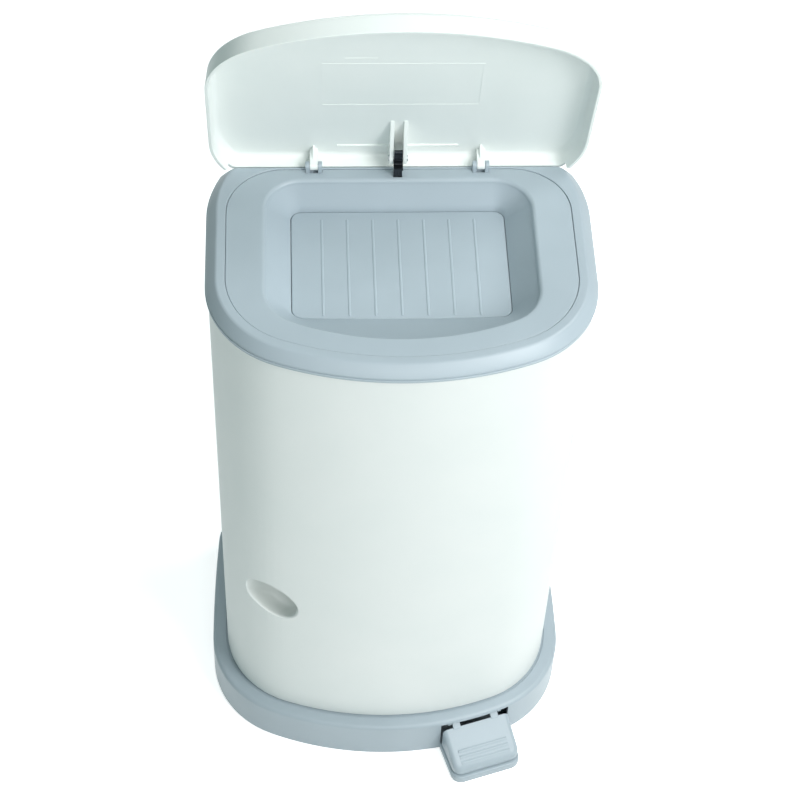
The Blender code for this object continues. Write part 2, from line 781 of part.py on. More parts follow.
def make_bottom_plate():
    outline = inset(BASE_PLAN, BASE_WALL + GAP)
    piece = loft("bottom_plate", [level(outline, PAD_PROUD), level(outline, PLATE_TOP)])
    top = PAD_PROUD + TONGUE_HEIGHT
    tongue = loft("tongue", [
        tongue_ring(0, PAD_PROUD + GAP / 2),
        tongue_ring(0, top - TONGUE_EDGE),
        tongue_ring(TONGUE_EDGE / 3, top - TONGUE_EDGE / 3),
        tongue_ring(TONGUE_EDGE, top),
    ])
    join(piece, tongue)
    inner = LEVER_WIDTH / 2 + CLEARANCE
    for side in (-1, 1):
        near = LEVER_PIVOT + LEVER_AXIS * side * inner
        far = LEVER_PIVOT + LEVER_AXIS * side * (inner + LEVER_EAR_WIDTH)
        foot = (0, 0, PLATE_TOP - PLATE_THICKNESS / 2 - LEVER_PIVOT.z)
        join(piece, ear("ear", near, far, LEVER_EAR_RADIUS, foot))
    half = LEVER_AXIS * (inner + LEVER_EAR_WIDTH + OVERRUN)
    holes = [rod("hole", LEVER_PIVOT - half, LEVER_PIVOT + half, LEVER_PIN_RADIUS + GAP / 2)]
    for x, y in plate_fixes():
        holes.append(screw_hole("hole", x, y, 0, PLATE_TOP + OVERRUN))
        recess = PAD_PROUD + PLATE_RECESS
        holes.append(rod("hole", (x, y, 0), (x, y, recess), SCREW_RECESS_RADIUS))
    for x, y in pads():
        high = PAD_PROUD + PAD_POCKET
        holes.append(rod("hole", (x, y, 0), (x, y, high), PAD_RADIUS + GAP))
    return plastic(cut(piece, *holes), GREY)


def make_pads():
    for index, (x, y) in enumerate(pads()):
        high = PAD_PROUD + PAD_POCKET - GAP
        pad = rod("pad_" + str(index + 1), (x, y, 0), (x, y, high), PAD_RADIUS)
        finish(pad, RUBBER, 0.8)


# Pedal
def make_pedal_tread():
    def ring(amount, drop, back):
        heights = []
        for outwards in (back, TREAD_REACH - amount):
            heights.append(TREAD_REAR_TOP - TREAD_SLOPE * (outwards - TREAD_BACK) - drop)
        half = TREAD_HALF_WIDTH - amount
        return pedal_ring(half, TREAD_CORNER - amount, back, TREAD_REACH - amount, heights)

    def flat_ring(amount, z, back):
        half = TREAD_HALF_WIDTH - amount
        reach = TREAD_REACH - amount
        return pedal_ring(half, TREAD_CORNER - amount, back, reach, [z, z])

    rings = [flat_ring(0, TREAD_LOW, TREAD_BACK)]
    for step in range(BLEND_STEPS + 1):
        angle = math.pi / 2 * step / BLEND_STEPS
        amount = TREAD_ROLL * (1 - math.cos(angle))
        rings.append(ring(amount, TREAD_ROLL * (1 - math.sin(angle)), TREAD_BACK))
    tread = loft("pedal_tread", rings)
    back = TREAD_BACK - OVERRUN
    hollow = loft("hollow", [
        flat_ring(TREAD_WALL, TREAD_LOW - OVERRUN, back),
        ring(TREAD_WALL, TREAD_ROLL, back),
        ring(TREAD_ROLL, TREAD_WALL, back),
    ])
    cut(tread, hollow)
    for index in range(TREAD_RIBS):
        near = TREAD_RIB_FIRST + index * TREAD_RIB_PITCH
        far = near + TREAD_RIB_WIDTH
        edge = TREAD_RIB_HEIGHT / 3
        profile = []
        for outwards, rise in (
            (near, -TREAD_WALL / 2), (near, edge), ((near + far) / 2, TREAD_RIB_HEIGHT),
            (far, edge), (far, -TREAD_WALL / 2),
        ):
            z = TREAD_REAR_TOP - TREAD_SLOPE * (outwards - TREAD_BACK) + rise
            profile.append((outwards, z))
        half = TREAD_RIB_LENGTH / 2
        rings = [[tuple(pedal_point(x, w, z)) for w, z in profile] for x in (-half, half)]
        join(tread, loft("rib", rings))
    across_gap = PEDAL_PIN_DEPTH + TREAD_BACK
    root = pedal_point(0, across_gap, TREAD_REAR_TOP - TREAD_WALL) - pedal_point(0, 0, PEDAL_PIN_Z)
    for side in (-1, 1):
        ends = (side * ARM_X - ARM_WIDTH / 2, side * ARM_X + ARM_WIDTH / 2)
        points = [pedal_point(x, -PEDAL_PIN_DEPTH, PEDAL_PIN_Z) for x in ends]
        join(tread, ear("arm", points[0], points[1], ARM_RADIUS, root))
    reach = ARM_X + ARM_WIDTH
    start = pedal_point(-reach, -PEDAL_PIN_DEPTH, PEDAL_PIN_Z)
    end = pedal_point(reach, -PEDAL_PIN_DEPTH, PEDAL_PIN_Z)
    cut(tread, rod("hole", start, end, PEDAL_PIN_RADIUS + GAP / 2))
    plastic(tread, GREY)
    set_origin(tread, pedal_point(0, -PEDAL_PIN_DEPTH, PEDAL_PIN_Z))


def make_pedal_pin():
    start = pedal_point(-PEDAL_PIN_HALF, -PEDAL_PIN_DEPTH, PEDAL_PIN_Z)
    end = pedal_point(PEDAL_PIN_HALF, -PEDAL_PIN_DEPTH, PEDAL_PIN_Z)
    metal(rod("pedal_pin", start, end, PEDAL_PIN_RADIUS))


def make_pedal_lever():
    half = LEVER_AXIS * (LEVER_WIDTH / 2)
    up = LEVER_AXIS.cross(LEVER_RUN)
    up = up if up.z > 0 else -up
    thick = up * (LEVER_THICKNESS / 2)
    far = LEVER_END + LEVER_RUN * LEVER_END_OVERHANG
    rings = []
    for point in (LEVER_TIP, far):
        ring = [point - half - thick, point + half - thick]
        ring += [point + half + thick, point - half + thick]
        rings.append([tuple(corner) for corner in ring])
    lever = loft("pedal_lever", rings)
    narrow = half * LEVER_TIP_SHARE
    wide = half * LEVER_HUB_SHARE
    tip = rod("tip", LEVER_TIP - narrow, LEVER_TIP + narrow, LEVER_TIP_RADIUS)
    hub = rod("hub", LEVER_PIVOT - wide, LEVER_PIVOT + wide, LEVER_HUB_RADIUS)
    join(lever, tip, hub)
    bore = LEVER_PIN_RADIUS + GAP / 2
    cut(lever, rod("hole", LEVER_PIVOT - half * 2, LEVER_PIVOT + half * 2, bore))
    metal(lever)
    set_origin(lever, LEVER_PIVOT)
    reach = LEVER_AXIS * (LEVER_WIDTH / 2 + CLEARANCE + LEVER_EAR_WIDTH)
    metal(rod("lever_pin", LEVER_PIVOT - reach, LEVER_PIVOT + reach, LEVER_PIN_RADIUS))


def make_push_rod():
    half = ROD_WIDTH / 2
    deep = ROD_THICKNESS / 2
    top = DECK_HEIGHT + ROD_HEAD_RISE
    foot = LEVER_END.z + LEVER_THICKNESS / 2 + GAP
    strip = box("push_rod", (-half, ROD_Y - deep, foot), (half, ROD_Y + deep, top))
    low = (-half - GAP, ROD_Y - ROD_HEAD_DEPTH / 2, top - ROD_HEAD_THICKNESS)
    head = box("head", low, (half + GAP, ROD_Y + ROD_HEAD_DEPTH / 2, top + GAP / 3))
    join(strip, head)
    metal(strip, DARK_STEEL)


def make_guides():
    half = GUIDE_WIDTH / 2
    inside = BODY_BACK - WALL - GAP
    for name, z in (("rod_guide_low", GUIDE_LOW_Z), ("rod_guide_high", GUIDE_HIGH_Z)):
        guide = box(name, (-half, ROD_Y - GUIDE_INSET, z), (half, inside, z + GUIDE_HEIGHT))
        side = ROD_WIDTH / 2 + ROD_PLAY
        deep = ROD_THICKNESS / 2 + ROD_PLAY
        low = (-side, ROD_Y - deep, z - OVERRUN)
        high = (side, ROD_Y + deep, z + GUIDE_HEIGHT + OVERRUN)
        plastic(cut(guide, box("hole", low, high)), DARK_GREY)
    half = COVER_WIDTH / 2
    back = inside
    front = ROD_Y - COVER_INSET
    thick = COVER_WALL
    section = [
        (-half, back), (-half, front), (half, front), (half, back),
        (half - thick, back), (half - thick, front + thick),
        (-half + thick, front + thick), (-half + thick, back),
    ]
    low = BODY_LOW + WALL + GAP
    top = MAGAZINE_TOP - MAGAZINE_HEIGHT - COVER_DROP
    rings = [[(x, y, z) for x, y in section] for z in (low, top)]
    plastic(loft("rod_cover", rings), WHITE)


# Body
def body_shell(name, flange, low, high):
    """The whole D wall with a flange at its foot and its top."""
    bottom = inset(BODY_PLAN, BOTTOM_INSET, 0)
    top = inset(BODY_PLAN, TOP_INSET, 0)
    reach_low = inset(bottom, flange)
    reach_high = inset(top, flange)
    return loft(name, [
        level(bottom, low), level(top, high), level(reach_high, high),
        level(reach_high, high - WALL), level(inset(top, WALL), high - WALL),
        level(inset(bottom, WALL), low + WALL), level(reach_low, low + WALL),
        level(reach_low, low),
    ], closed=True)


def half_space(front):
    """A block that takes in all in front of, or all behind, the split."""
    wide = COLLAR_HALF_WIDTH + OVERRUN
    if front:
        low = (-wide, COLLAR_FRONT - OVERRUN, 0)
        return box("half", low, (wide, SPLIT_Y - CLEARANCE, LID_TOP))
    return box("half", (-wide, SPLIT_Y, 0), (wide, BODY_BACK + OVERRUN, LID_TOP))


def make_rear_frame():
    frame = body_shell("rear_frame", FRAME_FLANGE, BODY_LOW, BODY_HIGH)
    keep(frame, half_space(False))
    holes = []
    for x, y in frame_fixes():
        holes.append(screw_hole("hole", x, y, BODY_LOW - OVERRUN, BODY_LOW + WALL + OVERRUN))
        holes.append(screw_hole("hole", x, y, BODY_HIGH - WALL - OVERRUN, BODY_HIGH + OVERRUN))
    side = ROD_WIDTH / 2 + ROD_PLAY + GAP
    low = (-side, ROD_Y - ROD_HEAD_DEPTH / 2, BODY_LOW - OVERRUN)
    high = (side, ROD_Y + ROD_THICKNESS, BODY_HIGH + OVERRUN)
    holes.append(box("hole", low, high))
    plastic(cut(frame, *holes), WHITE)


def recess_rings(grow, depths):
    """Rings of the scoop, wider by grow, between depths along the wall's normal."""
    rings = []
    for depth, share in depths:
        ring = []
        for along_share, up_share in RECESS_SHARES:
            along = along_share * (RECESS_HALF_WIDTH * share + grow)
            up = up_share * (RECESS_HALF_HEIGHT * share + grow)
            ring.append((along, depth, up))
        rings.append(ring)
    wall = inset(BODY_PLAN, BOTTOM_INSET)
    corner_x, corner_y = corner_centre(wall)
    x = -corner_x - wall.front_corner * math.sin(RECESS_TURN)
    y = corner_y - wall.front_corner * math.cos(RECESS_TURN)
    matrix = Matrix.Translation((x, y, RECESS_Z)) @ Matrix.Rotation(-RECESS_TURN, 4, "Z")
    return [[tuple(matrix @ Vector(point)) for point in ring] for ring in rings]


def make_front_door():
    low = BODY_LOW + DOOR_GAP - GAP
    high = BODY_HIGH - DOOR_GAP + GAP
    door = body_shell("front_door", DOOR_FLANGE, low, high)
    keep(door, half_space(True))
    lip_x = COLLAR_HALF_WIDTH - BOTTOM_INSET - WALL
    left = (-lip_x - WALL / 2, SPLIT_Y - CLEARANCE - DOOR_LIP_THICKNESS, low + WALL / 2)
    right = (-lip_x + DOOR_LIP, SPLIT_Y - CLEARANCE - GAP / 3, high - WALL / 2)
    lip = box("lip", left, right)
    barrel = rod("barrel", (HINGE_X, HINGE_Y, low), (HINGE_X, HINGE_Y, high), HINGE_RADIUS)
    behind = (COLLAR_HALF_WIDTH + OVERRUN, SPLIT_Y + OVERRUN, high + OVERRUN)
    heel = box("heel", (HINGE_X - DOOR_FLANGE * 2, HINGE_Y, 0), behind)
    cut(door, heel)
    join(door, lip, barrel)
    depths = [(share * RECESS_DEPTH, size) for share, size in RECESS_PROFILE_SHARES]
    backing_depths = [(depth + RECESS_WALL, size) for depth, size in depths]
    backing_depths[0] = (depths[0][0], 1)
    backing = loft("backing", recess_rings(RECESS_WALL, backing_depths))
    skin = inset(BODY_PLAN, BOTTOM_INSET, 0)
    inside = loft("inside", [level(inset(skin, WALL / 2), low), level(inset(skin, WALL / 2), high)])
    keep(backing, inside)
    join(door, backing)
    cut(door, loft("scoop", recess_rings(0, depths)))
    bore = DOOR_PIN_RADIUS + GAP / 2
    holes = []
    for start, end in (
        (low - OVERRUN, low + DOOR_PIN_INSIDE + CLEARANCE),
        (high + OVERRUN, high - DOOR_PIN_INSIDE - CLEARANCE),
    ):
        holes.append(rod("hole", (HINGE_X, HINGE_Y, start), (HINGE_X, HINGE_Y, end), bore))
    cut(door, *holes)
    plastic(door, WHITE)
    set_origin(door, (HINGE_X, HINGE_Y, low))


def make_door_pins():
    for name, inner, outer in (
        ("door_pin_low", BODY_LOW + DOOR_PIN_INSIDE, BODY_LOW - DOOR_PIN_OUTSIDE),
        ("door_pin_high", BODY_HIGH - DOOR_PIN_INSIDE, BODY_HIGH + DOOR_PIN_OUTSIDE),
    ):
        metal(rod(name, (HINGE_X, HINGE_Y, inner), (HINGE_X, HINGE_Y, outer), DOOR_PIN_RADIUS))


def make_door_catch():
    wall_x = COLLAR_HALF_WIDTH - BOTTOM_INSET - WALL - GAP
    back = SPLIT_Y + GAP
    z1 = CATCH_Z + CATCH_HEIGHT
    low = (-wall_x + GAP * 2, back, CATCH_Z)
    body = box("door_catch", low, (-wall_x + CATCH_WIDTH, back + CATCH_LENGTH, z1))
    nose_x = -wall_x + DOOR_LIP + CLEARANCE
    third = CATCH_HEIGHT / 3
    start = (nose_x, SPLIT_Y - CATCH_NOSE_REACH, CATCH_Z + third)
    nose = box("nose", start, (nose_x + CATCH_NOSE, back + CATCH_LENGTH / 2, z1 - third))
    plastic(join(body, nose), DARK_GREY)


# Top
def make_top_collar():
    wall = inset(COLLAR_PLAN, BEAD_PROUD)
    bead_top = COLLAR_LOW + BEAD_HEIGHT
    under = COLLAR_LOW + WALL * 2
    shelf = DECK_HEIGHT - DECK_THICKNESS - GAP
    rings = [level(COLLAR_PLAN, COLLAR_LOW), level(COLLAR_PLAN, bead_top)]
    rings.append(level(wall, bead_top + BEAD_PROUD))
    rings += rolled(wall, DECK_HEIGHT, COLLAR_ROLL, BACK_ROLL_SHARE)
    rings += [
        level(CREASE_PLAN, DECK_HEIGHT),
        level(CREASE_PLAN, shelf),
        level(inset(CREASE_PLAN, LEDGE_WIDTH), shelf),
        level(inset(CREASE_PLAN, LEDGE_WIDTH), shelf - LEDGE_THICKNESS),
        level(inset(TOP_PLAN, CREASE_INSET - WALL * 2, WALL), shelf - LEDGE_THICKNESS),
        level(inset(TOP_PLAN, WALL), under),
        level(inset(TOP_PLAN, WALL), COLLAR_LOW),
    ]
    collar = loft("top_collar", rings, closed=True)
    root = -LID_HINGE_RISE - EAR_ROOT
    for x in hinge_ears():
        for side in (-1, 1):
            outer = x + side * EAR_SPREAD / 2
            inner = outer - side * EAR_WIDTH
            ends = (min(outer, inner), max(outer, inner))
            knuckle = [(end, LID_HINGE_Y, LID_HINGE_Z) for end in ends]
            join(collar, ear("ear", *knuckle, EAR_RADIUS, (0, 0, root)))
    boss_top = shelf - LEDGE_THICKNESS / 2
    for x, y in frame_fixes():
        join(collar, rod("boss", (x, y, COLLAR_LOW), (x, y, boss_top), BOSS_RADIUS))
    pin = (HINGE_X, HINGE_Y, COLLAR_LOW)
    join(collar, rod("boss", pin, (HINGE_X, HINGE_Y, boss_top), BOSS_RADIUS))
    holes = []
    for x in hinge_ears():
        reach = EAR_SPREAD / 2 + OVERRUN
        start = (x - reach, LID_HINGE_Y, LID_HINGE_Z)
        end = (x + reach, LID_HINGE_Y, LID_HINGE_Z)
        holes.append(rod("hole", start, end, LID_PIN_RADIUS + GAP / 2))
    for x, y in frame_fixes():
        deep = COLLAR_LOW + SCREW_LENGTH - WALL
        holes.append(screw_hole("hole", x, y, COLLAR_LOW - OVERRUN, deep))
    deep = BODY_HIGH + DOOR_PIN_OUTSIDE + GAP
    start = (HINGE_X, HINGE_Y, COLLAR_LOW - OVERRUN)
    bore = DOOR_PIN_RADIUS + GAP / 2
    holes.append(rod("hole", start, (HINGE_X, HINGE_Y, deep), bore))
    plastic(cut(collar, *holes), GREY)


def make_deck_funnel():
    edge = inset(CREASE_PLAN, GAP)
    floor = DECK_HEIGHT - FLOOR_DEPTH
    rings = [level(edge, DECK_HEIGHT)]
    for step in range(ROLL_STEPS):
        angle = math.pi / 2 * step / (ROLL_STEPS - 1)
        amount = RIM_ROLL * (math.sin(angle) - 1)
        z = DECK_HEIGHT - RIM_ROLL * (1 - math.cos(angle))
        rings.append(level(inset(RIM_PLAN, amount), z))
    throat = inset(FLOOR_PLAN, -THROAT_WALL)
    rings += [
        level(FLOOR_PLAN, floor),
        level(FLOOR_PLAN, floor - THROAT_DEPTH),
        level(throat, floor - THROAT_DEPTH),
        level(throat, floor - THROAT_WALL / 2),
        level(inset(RIM_PLAN, -WALL), DECK_HEIGHT - DECK_THICKNESS),
        level(edge, DECK_HEIGHT - DECK_THICKNESS),
    ]
    deck = loft("deck_funnel", rings, closed=True)
    into = DECK_HEIGHT - DECK_THICKNESS / 2
    join(deck, *[rod("post", (x, y, POST_LOW), (x, y, into), POST_RADIUS) for x, y in posts()])
    high = DECK_HEIGHT + OVERRUN
    low = DECK_HEIGHT - DECK_THICKNESS - OVERRUN
    holes = []
    for x in hinge_ears():
        half = EAR_SPREAD / 2 + GAP
        start = (x - half, LID_HINGE_Y - EAR_RADIUS - GAP, low)
        holes.append(box("hole", start, (x + half, LID_BACK, high)))
    side = ROD_WIDTH / 2 + ROD_PLAY
    deep = ROD_THICKNESS / 2 + ROD_PLAY
    holes.append(box("hole", (-side, ROD_Y - deep, low), (side, ROD_Y + deep, high)))
    for x, y in posts():
        holes.append(screw_hole("hole", x, y, POST_LOW - OVERRUN, POST_LOW + SCREW_LENGTH))
    pin_z = floor - FLAP_PIN_DROP
    reach = FLOOR_HALF_WIDTH + THROAT_WALL + OVERRUN
    start = (-reach, FLAP_PIN_Y, pin_z)
    holes.append(rod("hole", start, (reach, FLAP_PIN_Y, pin_z), FLAP_PIN_RADIUS + GAP / 2))
    plastic(cut(deck, *holes), GREY)


# Trap flap
def make_trap_flap():
    top = DECK_HEIGHT - FLOOR_DEPTH
    low = top - FLAP_THICKNESS
    outline = inset(FLOOR_PLAN, FLAP_CLEARANCE)
    flap = loft("trap_flap", [level(outline, low), level(outline, top)])
    pin_z = top - FLAP_PIN_DROP
    into = low + FLAP_THICKNESS / 2
    for side in (-1, 1):
        middle = side * (FLOOR_HALF_WIDTH - FLAP_KNUCKLE_INSET)
        ends = [middle - FLAP_KNUCKLE_WIDTH / 2]
        ends.append(ends[0] + FLAP_KNUCKLE_WIDTH)
        knuckle = [(end, FLAP_PIN_Y, pin_z) for end in ends]
        join(flap, ear("web", *knuckle, FLAP_KNUCKLE_RADIUS, (0, 0, into - pin_z)))
    grooves = []
    pitch = 2 * (FLOOR_HALF_WIDTH - FLAP_GROOVE_MARGIN) / (FLAP_GROOVES - 1)
    for index in range(FLAP_GROOVES):
        x = (index - (FLAP_GROOVES - 1) / 2) * pitch
        half = FLAP_GROOVE_WIDTH / 2
        start = (x - half, FLOOR_FRONT - OVERRUN, top - FLAP_GROOVE_DEPTH)
        grooves.append(box("groove", start, (x + half, FLOOR_BACK + OVERRUN, top + OVERRUN)))
    cut(flap, *grooves)
    reach = FLOOR_HALF_WIDTH
    bore = FLAP_PIN_RADIUS + GAP / 2
    cut(flap, rod("hole", (-reach, FLAP_PIN_Y, pin_z), (reach, FLAP_PIN_Y, pin_z), bore))
    plastic(flap, GREY)
    set_origin(flap, (0, FLAP_PIN_Y, pin_z))
    reach = FLOOR_HALF_WIDTH + THROAT_WALL
    ends = [(-reach, FLAP_PIN_Y, pin_z), (reach, FLAP_PIN_Y, pin_z)]
    metal(rod("flap_pin", *ends, FLAP_PIN_RADIUS))
    make_flap_spring(pin_z, low)


def make_flap_spring(pin_z, ceiling):
    """Coil about the flap pin with one leg under the flap and one at the wall."""
    path = []
    leg_z = ceiling - SPRING_WIRE - GAP
    start_x = -SPRING_TURNS * SPRING_PITCH / 2
    path.append(Vector((start_x, FLAP_PIN_Y - SPRING_LEG, leg_z)))
    for step in range(SPRING_TURNS * SPRING_STEPS + SPRING_STEPS // 4 + 1):
        angle = math.pi / 2 - 2 * math.pi * step / SPRING_STEPS
        x = start_x + SPRING_PITCH * step / SPRING_STEPS
        y = FLAP_PIN_Y + SPRING_RADIUS * math.cos(angle)
        path.append(Vector((x, y, pin_z + SPRING_RADIUS * math.sin(angle))))
    end = path[-1]
    wall_y = FLOOR_BACK - SPRING_WIRE - GAP
    path.append(Vector((end.x, wall_y, pin_z - SPRING_LEG / 3)))
    rings = []
    for index, point in enumerate(path):
        before = path[max(index - 1, 0)]
        after = path[min(index + 1, len(path) - 1)]
        axis = (after - before).normalized()
        side = Vector((1, 0, 0))
        side = (side - axis * side.dot(axis)).normalized()
        other = axis.cross(side)
        ring = []
        for corner in range(WIRE_STEPS):
            angle = 2 * math.pi * corner / WIRE_STEPS
            offset = side * math.cos(angle) + other * math.sin(angle)
            ring.append(tuple(point + offset * SPRING_WIRE))
        rings.append(ring)
    metal(loft("flap_spring", rings))


# Liner magazine and cutter
def make_magazine():
    clear = THROAT_WALL + MAGAZINE_THROAT_GAP
    inner = inset(FLOOR_PLAN, -clear)
    inner_out = inset(inner, -MAGAZINE_WALL)
    outer_corner = MAGAZINE_OUTER_CORNER
    back = ROD_Y - MAGAZINE_ROD_GAP
    outer_in = plan(
        inner_out.half_width + MAGAZINE_TROUGH, inner_out.front - MAGAZINE_TROUGH,
        back - MAGAZINE_WALL, FLOOR_ARC, outer_corner, outer_corner,
    )
    outer = inset(outer_in, -MAGAZINE_WALL)
    low = MAGAZINE_TOP - MAGAZINE_HEIGHT
    inner_top = MAGAZINE_TOP - MAGAZINE_INNER_DROP
    magazine = loft("liner_magazine", [
        level(outer, low), level(outer, MAGAZINE_TOP), level(outer_in, MAGAZINE_TOP),
        level(outer_in, low + MAGAZINE_WALL), level(inner_out, low + MAGAZINE_WALL),
        level(inner_out, inner_top), level(inner, inner_top), level(inner, low),
    ], closed=True)
    lugs = []
    for x, y in posts():
        start = (x, y, MAGAZINE_TOP - WALL)
        lugs.append(rod("lug", start, (x, y, MAGAZINE_TOP + GAP / 3), LUG_RADIUS))
    join(magazine, *lugs)
    cut(magazine, *[
        screw_hole("hole", x, y, low, MAGAZINE_TOP + OVERRUN) for x, y in posts()
    ])
    plastic(magazine, WHITE)
    make_cutter(outer.front, low)


def make_cutter(wall_y, low):
    half = CUTTER_LENGTH / 2
    back = wall_y - GAP
    front = back - CUTTER_DEPTH
    start = (CUTTER_X - half, front, low)
    housing = box("cutter_housing", start, (CUTTER_X + half, back, low + CUTTER_HEIGHT))
    middle = (front + back) / 2
    slot_low = (CUTTER_X - half - OVERRUN, middle - CUTTER_SLOT / 2, low - OVERRUN)
    slot_high = (CUTTER_X + half - WALL, middle + CUTTER_SLOT / 2, low + CUTTER_HEIGHT - WALL * 2)
    cut(housing, box("slot", slot_low, slot_high))
    blade_x = CUTTER_X + half - WALL - GAP
    thick = BLADE_THICKNESS / 2
    top = slot_high[2] - GAP
    blade_low = (blade_x - BLADE_LENGTH, middle - thick, top - BLADE_HEIGHT)
    metal(box("cutter_blade", blade_low, (blade_x, middle + thick, top)))
    plastic(housing, DARK_GREY)


# Lid
def make_lid():
    rings = []
    ceiling_edge = LID_TAPER + LID_WALL
    for step in range(ROLL_STEPS + 1):
        angle = math.pi / 2 * (1 - step / ROLL_STEPS)
        amount = ceiling_edge + LID_INNER_ROLL * (1 - math.cos(angle))
        z = LID_CEILING - LID_INNER_ROLL * (1 - math.sin(angle))
        rings.append(level(inset(LID_PLAN, amount), z))
    rings += [level(inset(LID_PLAN, LID_WALL), LID_LOW), level(LID_PLAN, LID_LOW)]
    rings += rolled(inset(LID_PLAN, LID_TAPER), LID_TOP, LID_ROLL)
    lid = loft("lid_shell", rings)
    wide = COLLAR_HALF_WIDTH
    low = (-wide, LID_HINGE_Y, LID_LOW - OVERRUN)
    cut(lid, box("skirt", low, (wide, BASE_BACK, DECK_HEIGHT + LID_SKIRT_CUT)))
    into = LID_CEILING + LID_WALL / 2
    for x in hinge_ears():
        ends = (x - TAB_WIDTH / 2, x + TAB_WIDTH / 2)
        knuckle = [(end, LID_HINGE_Y, LID_HINGE_Z) for end in ends]
        join(lid, ear("tab", *knuckle, EAR_RADIUS, (0, 0, into - LID_HINGE_Z)))
    cross_y = LID_HINGE_Y - CROSS_ARM
    cheek_low = DECK_HEIGHT + CHEEK_LOW
    rib_low = LID_CEILING - RIB_HEIGHT
    front = LID_HINGE_Y - CHEEK_REACH
    profile = [
        (front, into), (front, LID_CEILING - GAP), (cross_y - CHEEK_RADIUS, cheek_low),
        (cross_y + CHEEK_RADIUS, cheek_low), (LID_HINGE_Y, rib_low), (LID_HINGE_Y, into),
    ]
    for side in (-1, 1):
        near = side * CHEEK_GAP / 2
        far = near + side * CHEEK_WIDTH
        join(lid, across("cheek", profile, min(near, far), max(near, far)))
        ends = sorted((far - side * CHEEK_WIDTH / 2, side * RIB_REACH))
        start = (ends[0], LID_HINGE_Y - RIB_WIDTH / 2, rib_low)
        join(lid, box("rib", start, (ends[1], LID_HINGE_Y + RIB_WIDTH / 2, into)))
    rings = []
    panel_front = COLLAR_FRONT + PANEL_FRONT_MARGIN
    for grow, z in (
        (0, into), (0, LID_CEILING - PANEL_PROUD),
        (-PANEL_LINE, LID_CEILING - PANEL_PROUD), (-PANEL_LINE, into),
    ):
        x = PANEL_HALF_WIDTH + grow
        y0 = panel_front - grow
        y1 = panel_front + PANEL_DEPTH + grow
        rings.append([(-x, y0, z), (x, y0, z), (x, y1, z), (-x, y1, z)])
    join(lid, loft("panel", rings, closed=True))
    mark_front = panel_front - MARK_MARGIN
    start = (MARK_LEFT, mark_front, LID_CEILING - PANEL_PROUD)
    end = (MARK_LEFT + MARK_LENGTH, mark_front + PANEL_LINE, into)
    join(lid, box("mark", start, end))
    holes = []
    for x in hinge_ears():
        start = (x - TAB_WIDTH, LID_HINGE_Y, LID_HINGE_Z)
        end = (x + TAB_WIDTH, LID_HINGE_Y, LID_HINGE_Z)
        holes.append(rod("hole", start, end, LID_PIN_RADIUS + GAP / 2))
    reach = CHEEK_GAP / 2 + CHEEK_WIDTH
    hole_reach = reach + OVERRUN
    ends = [(-hole_reach, cross_y, LID_HINGE_Z), (hole_reach, cross_y, LID_HINGE_Z)]
    holes.append(rod("hole", *ends, CROSS_PIN_RADIUS + GAP / 3))
    cut(lid, *holes)
    place(lid, LID_MATRIX)
    finish(lid, WHITE, 0.28)
    set_origin(lid, (0, LID_HINGE_Y, LID_HINGE_Z))
    ends = [(-reach, cross_y, LID_HINGE_Z), (reach, cross_y, LID_HINGE_Z)]
    metal(place(rod("lid_cross_pin", *ends, CROSS_PIN_RADIUS), LID_MATRIX))


def make_lid_pins():
    for name, x in zip(("lid_pin_left", "lid_pin_right"), hinge_ears()):
        start = (x - EAR_SPREAD / 2, LID_HINGE_Y, LID_HINGE_Z)
        end = (x + EAR_SPREAD / 2, LID_HINGE_Y, LID_HINGE_Z)
        metal(rod(name, start, end, LID_PIN_RADIUS))


def make_screws():
    down = -1
    for index, (x, y) in enumerate(frame_fixes()):
        number = str(index + 1)
        make_screw("frame_screw_" + number, x, y, BODY_LOW + WALL + GAP, down)
        make_screw("collar_screw_" + number, x, y, BODY_HIGH - WALL - GAP, 1)
    for index, (x, y) in enumerate(plate_fixes()):
        seat = PAD_PROUD + PLATE_RECESS - GAP / 3
        make_screw("plate_screw_" + str(index + 1), x, y, seat, 1)
    for index, (x, y) in enumerate(posts()):
        seat = MAGAZINE_TOP - WALL - GAP
        make_screw("magazine_screw_" + str(index + 1), x, y, seat, 1)


def main():
    for piece in list(bpy.data.objects):
        bpy.data.objects.remove(piece)
    make_base_plinth()
    make_bottom_plate()
    make_pads()
    make_pedal_tread()
    make_pedal_pin()
    make_pedal_lever()
    make_push_rod()
    make_guides()
    make_rear_frame()
    make_front_door()
    make_door_pins()
    make_door_catch()
    make_top_collar()
    make_deck_funnel()
    make_trap_flap()
    make_magazine()
    make_lid()
    make_lid_pins()
    make_screws()


main()
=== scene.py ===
import json
import math
from collections import namedtuple

import bmesh
import bpy
from mathutils import Matrix, Vector


